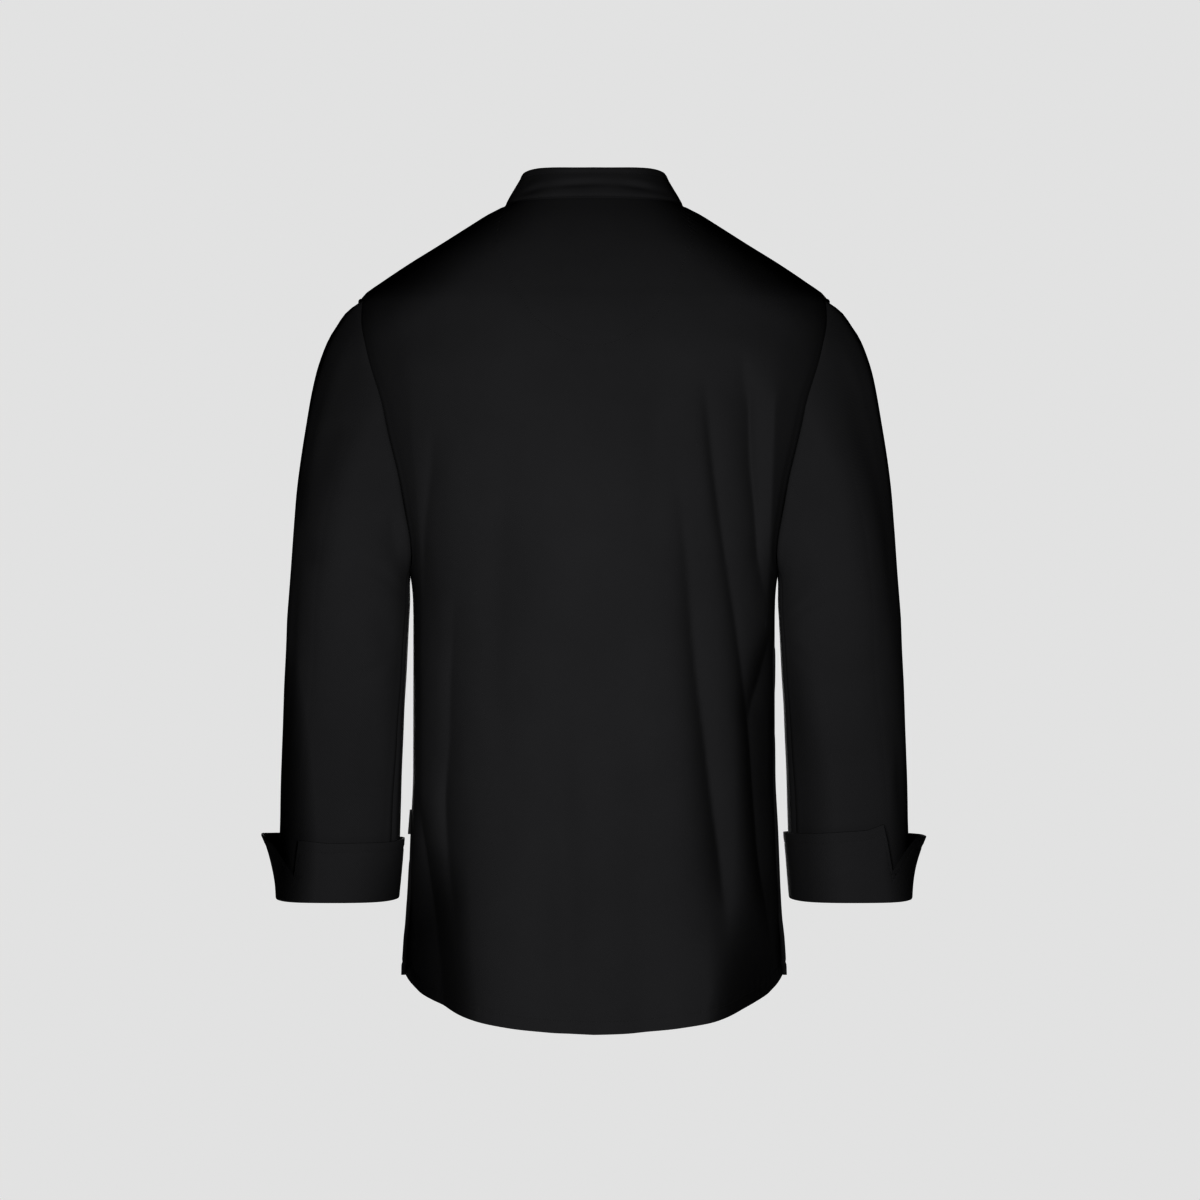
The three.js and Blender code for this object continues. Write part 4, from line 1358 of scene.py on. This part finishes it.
class JACKET_OT_buttons(bpy.types.Operator):
    """Turn ten domed buttons with a rim and a shallow middle"""

    bl_idname = "jacket.buttons"
    bl_label = "Buttons"

    def execute(self, context):
        radius = sizes().button_radius
        profile = [
            (0, 0.0002),
            (0.55, 0.0002),
            (0.9, 0.0010),
            (0.985, 0.0016),
            (1.0, 0.0022),
            (0.97, 0.0028),
            (0.9, 0.0033),
            (0.8, 0.0036),
            (0.7, 0.0036),
            (0.62, 0.0034),
            (0.5, 0.0037),
            (0.3, 0.0042),
            (0.12, 0.0045),
            (0, 0.00455),
        ]
        for number in range(1, 11):
            node = "button_" + str(number)
            low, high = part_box(node)
            middle = (Vector(low) + Vector(high)) / 2
            down = -middle.z * 1000
            turn = 180 - float(turn_at_x(middle.x * 1000, down))
            outward = Vector(torso_normal(turn, down))
            seat = Vector(torso_surface(np.array(turn), np.array(down), np.array(millimetres("overlap_lift")))) * 0.001
            shape = bmesh.new()
            last = None
            for share, height in profile:
                vertex = shape.verts.new((share * radius, 0, height))
                if last is not None:
                    shape.edges.new((last, vertex))
                last = vertex
            bmesh.ops.spin(
                shape,
                geom=shape.verts[:] + shape.edges[:],
                cent=(0, 0, 0),
                axis=(0, 0, 1),
                angle=2 * math.pi,
                steps=32,
                use_merge=True,
            )
            bmesh.ops.remove_doubles(shape, verts=shape.verts, dist=1e-6)
            bmesh.ops.recalc_face_normals(shape, faces=shape.faces)
            turned = outward.to_track_quat("Z", "Y").to_matrix().to_4x4()
            bmesh.ops.transform(shape, matrix=Matrix.Translation(seat + outward * 0.0005) @ turned, verts=shape.verts)
            mesh = bpy.data.meshes.new("domed_button_" + str(number))
            shape.to_mesh(mesh)
            shape.free()
            piece = finish_piece("domed_button_" + str(number), mesh, moulded_plastic())
            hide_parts(node)
        return {"FINISHED"}


class JACKET_OT_thread(bpy.types.Operator):
    """Sew the hems, neck patch, collar, cuffs, front edge and buttonholes"""

    bl_idname = "jacket.thread"
    bl_label = "Thread"

    def execute(self, context):
        hem = millimetres("hem")
        runs = []
        for name in ("back_panel", "left_front", "right_front"):
            points, normal = SEWN[name]
            from_bottom, from_last = SEWN[name + " distances"]
            runs.append(row_at(points, normal, from_bottom, hem))
            if name != "back_panel":
                path, outward = row_at(
                    points.transpose(1, 0, 2), normal.transpose(1, 0, 2), from_last.T, 6.0
                )
                runs.append((path, outward))
        thread_piece("hem_and_edge_thread", runs)
        fine = np.linspace(-1, 1, 241)
        down = blend(6, 138, np.cos(fine * math.pi / 2))
        half = read(NECK_PATCH, "down", "half_width", down)
        x = np.sign(fine) * half
        turn = turn_at_x(x, down)
        bare = bare_torso(turn, down)
        normal = torso_normal(turn, down)
        path = settled(folded(turn, down, bare), "back_panel", normal, 0.1)
        thread_piece("neck_patch_thread", [(path, normal)], pitch=2.7)
        lines, away = SEWN["collar lines"]
        thread_piece("collar_thread", [(line, up) for line, up in zip(lines, away)])
        thread_piece("cuff_thread", [SEWN["left_cuff"], SEWN["right_cuff"]])
        bars = []
        for number in range(1, 11):
            low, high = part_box("button_" + str(number))
            middle = (Vector(low) + Vector(high)) * 500
            if middle.x > 0:
                continue
            x = middle.x + np.linspace(-4, 19, 24)
            for rise in (-1.2, 0, 1.2):
                down = np.full_like(x, rise - middle.z)
                turn = 180 - turn_at_x(x, down)
                normal = torso_normal(turn, down)
                bars.append((settled(torso_surface(turn, down), "left_front", normal, 0.15), normal))
        for side, first, rise in ((-1, 47, 625.4), (-1, 47, 626.6), (1, 50, 629.6), (1, 50, 630.8)):
            way = np.linspace(first, first + 10, 12)
            down = np.full_like(way, rise)
            clear = 3.6 + cuff_flare(way, np.clip((CUFF_FOLD_DOWN - down) / 61, 0, 1))
            spot = tube(way, down, clear) * np.array([side, 1, 1])
            away = unit(spot - np.array([side * 241, -22, -rise]))
            bars.append((spot, away))
        thread_piece("sewn_bars", bars, pitch=0.9)
        return {"FINISHED"}


class JACKET_OT_stage(bpy.types.Operator):
    """Set the pale floor and backdrop, the soft lights and the camera"""

    bl_idname = "jacket.stage"
    bl_label = "Stage"

    def execute(self, context):
        scene = context.scene
        settings = scene.jacket_stage
        middle = Vector((-0.0056, 0, -0.370))
        scene.view_settings.view_transform = "Standard"
        scene.view_settings.gamma = settings.print_gamma
        world = bpy.data.worlds.new("Pale backdrop")
        world.use_nodes = True
        tree = world.node_tree
        pale = [c**settings.print_gamma for c in linear(settings.backdrop)]
        tree.nodes["Background"].inputs["Color"].default_value = pale
        shown = tree.nodes["Background"]
        soft = add_node(tree, "ShaderNodeBackground", inputs={"Color": pale, "Strength": settings.ambient})
        rays = add_node(tree, "ShaderNodeLightPath")
        both = add_node(tree, "ShaderNodeMixShader")
        tree.links.new(rays.outputs["Is Camera Ray"], both.inputs["Fac"])
        tree.links.new(soft.outputs[0], both.inputs[1])
        tree.links.new(shown.outputs[0], both.inputs[2])
        tree.links.new(both.outputs[0], tree.nodes["World Output"].inputs["Surface"])
        scene.world = world

        shape = bmesh.new()
        bmesh.ops.create_circle(shape, cap_ends=True, radius=2.3, segments=96)
        bmesh.ops.translate(shape, vec=(0, 0, -settings.floor_drop), verts=shape.verts)
        mesh = bpy.data.meshes.new("studio_floor")
        shape.to_mesh(mesh)
        shape.free()
        floor = bpy.data.objects.new("studio_floor", mesh)
        scene.collection.objects.link(floor)
        paint = bpy.data.materials.new("pale_studio_floor")
        paint.use_nodes = True
        tree = paint.node_tree
        shader = tree.nodes["Principled BSDF"]
        shader.inputs["Base Color"].default_value = pale
        shader.inputs["Roughness"].default_value = 0.9
        place = add_node(tree, "ShaderNodeTexCoord")
        flat = add_node(
            tree,
            "ShaderNodeMapping",
            {"vector_type": "POINT"},
            {"Vector": place.outputs["Object"], "Scale": (1, 1, 0)},
        )
        far = add_node(tree, "ShaderNodeVectorMath", {"operation": "LENGTH"}, {0: flat.outputs[0]})
        fade = add_node(tree, "ShaderNodeMapRange", {"interpolation_type": "SMOOTHSTEP"})
        tree.links.new(far.outputs["Value"], fade.inputs["Value"])
        fade.inputs["From Min"].default_value = 0.7
        fade.inputs["From Max"].default_value = 2.25
        fade.inputs["To Min"].default_value = 1
        fade.inputs["To Max"].default_value = 0
        tree.links.new(fade.outputs["Result"], shader.inputs["Alpha"])
        mesh.materials.append(paint)

        lights = [
            ("key_on_the_back", (0.04, 1.38, -0.39), 0.6, 0.7, settings.key_power),
            ("key_on_the_front", (0.24, -1.45, -0.36), 0.6, 0.7, settings.key_power),
            ("side_left", (2.3, -1.1, -0.45), 0.8, 0.8, settings.key_power * settings.side_share),
            ("side_right", (-2.3, -1.1, -0.45), 0.8, 0.8, settings.key_power * settings.side_share),
        ]
        for name, place, wide, tall, power in lights:
            data = bpy.data.lights.new(name, "AREA")
            data.shape = "RECTANGLE"
            data.size = wide
            data.size_y = tall
            data.energy = power
            lamp = bpy.data.objects.new(name, data)
            lamp.location = place
            lamp.rotation_euler = (middle - Vector(place)).to_track_quat("-Z", "Y").to_euler()
            lamp.visible_camera = False
            scene.collection.objects.link(lamp)

        # Black studio cards, close to the cloth, keep the key off the places that are nearly black
        # in the photograph. Each is a polygon of x and down where its shadow is to fall.
        lamp_place = Vector(lights[0][1])
        for number, (card_y, cloth_y, corners) in enumerate(SHADED):
            shape = bmesh.new()
            for x, down in corners:
                at = Vector((x, cloth_y, -down)) * 0.001
                share = (lamp_place.y - card_y * 0.001) / (lamp_place.y - at.y)
                shape.verts.new(lamp_place.lerp(at, share))
            shape.faces.new(shape.verts)
            mesh = bpy.data.meshes.new("studio_card_" + str(number))
            shape.to_mesh(mesh)
            shape.free()
            card = bpy.data.objects.new("studio_card_" + str(number), mesh)
            mesh.materials.append(plain_material("black_studio_card", "#050505", 0.9, 0.1))
            card.visible_camera = False
            scene.collection.objects.link(card)

        data = bpy.data.cameras.new("Camera")
        data.sensor_width = 36
        data.lens = 36 * settings.distance / 1.128
        data.clip_end = 60
        camera = bpy.data.objects.new("Camera", data)
        camera.location = middle + Vector((0, settings.distance, 0))
        camera.rotation_euler = (math.radians(90), 0, math.radians(180))
        scene.collection.objects.link(camera)
        scene.camera = camera
        return {"FINISHED"}


class JACKET_PT_panel(bpy.types.Panel):
    """The jacket's pieces, in the order they are made"""

    bl_idname = "JACKET_PT_panel"
    bl_label = "Chef jacket"
    bl_space_type = "VIEW_3D"
    bl_region_type = "UI"
    bl_category = "Jacket"

    def draw(self, context):
        layout = self.layout
        for operator in STEPS:
            layout.operator(operator.bl_idname)
        for group in (context.scene.jacket_sizes, context.scene.jacket_colours, context.scene.jacket_stage):
            for name in group.bl_rna.properties.keys():
                if name not in ("rna_type", "name"):
                    layout.prop(group, name)


STEPS = (
    JACKET_OT_stage,
    JACKET_OT_back,
    JACKET_OT_fronts,
    JACKET_OT_collar,
    JACKET_OT_sleeves,
    JACKET_OT_cuffs,
    JACKET_OT_side_tab,
    JACKET_OT_buttons,
    JACKET_OT_thread,
)
CLASSES = (JacketSizes, JacketColours, StageSettings, *STEPS, JACKET_PT_panel)


def register():
    for kind in CLASSES:
        bpy.utils.register_class(kind)
    bpy.types.Scene.jacket_sizes = bpy.props.PointerProperty(type=JacketSizes)
    bpy.types.Scene.jacket_colours = bpy.props.PointerProperty(type=JacketColours)
    bpy.types.Scene.jacket_stage = bpy.props.PointerProperty(type=StageSettings)


def unregister():
    del bpy.types.Scene.jacket_stage
    del bpy.types.Scene.jacket_colours
    del bpy.types.Scene.jacket_sizes
    for kind in reversed(CLASSES):
        bpy.utils.unregister_class(kind)


def main():
    register()
    bpy.ops.jacket.stage()
    bpy.ops.jacket.back()
    bpy.ops.jacket.fronts()
    bpy.ops.jacket.collar()
    bpy.ops.jacket.sleeves()
    bpy.ops.jacket.cuffs()
    bpy.ops.jacket.side_tab()
    bpy.ops.jacket.buttons()
    bpy.ops.jacket.thread()


if __name__ == "__main__":
    main()
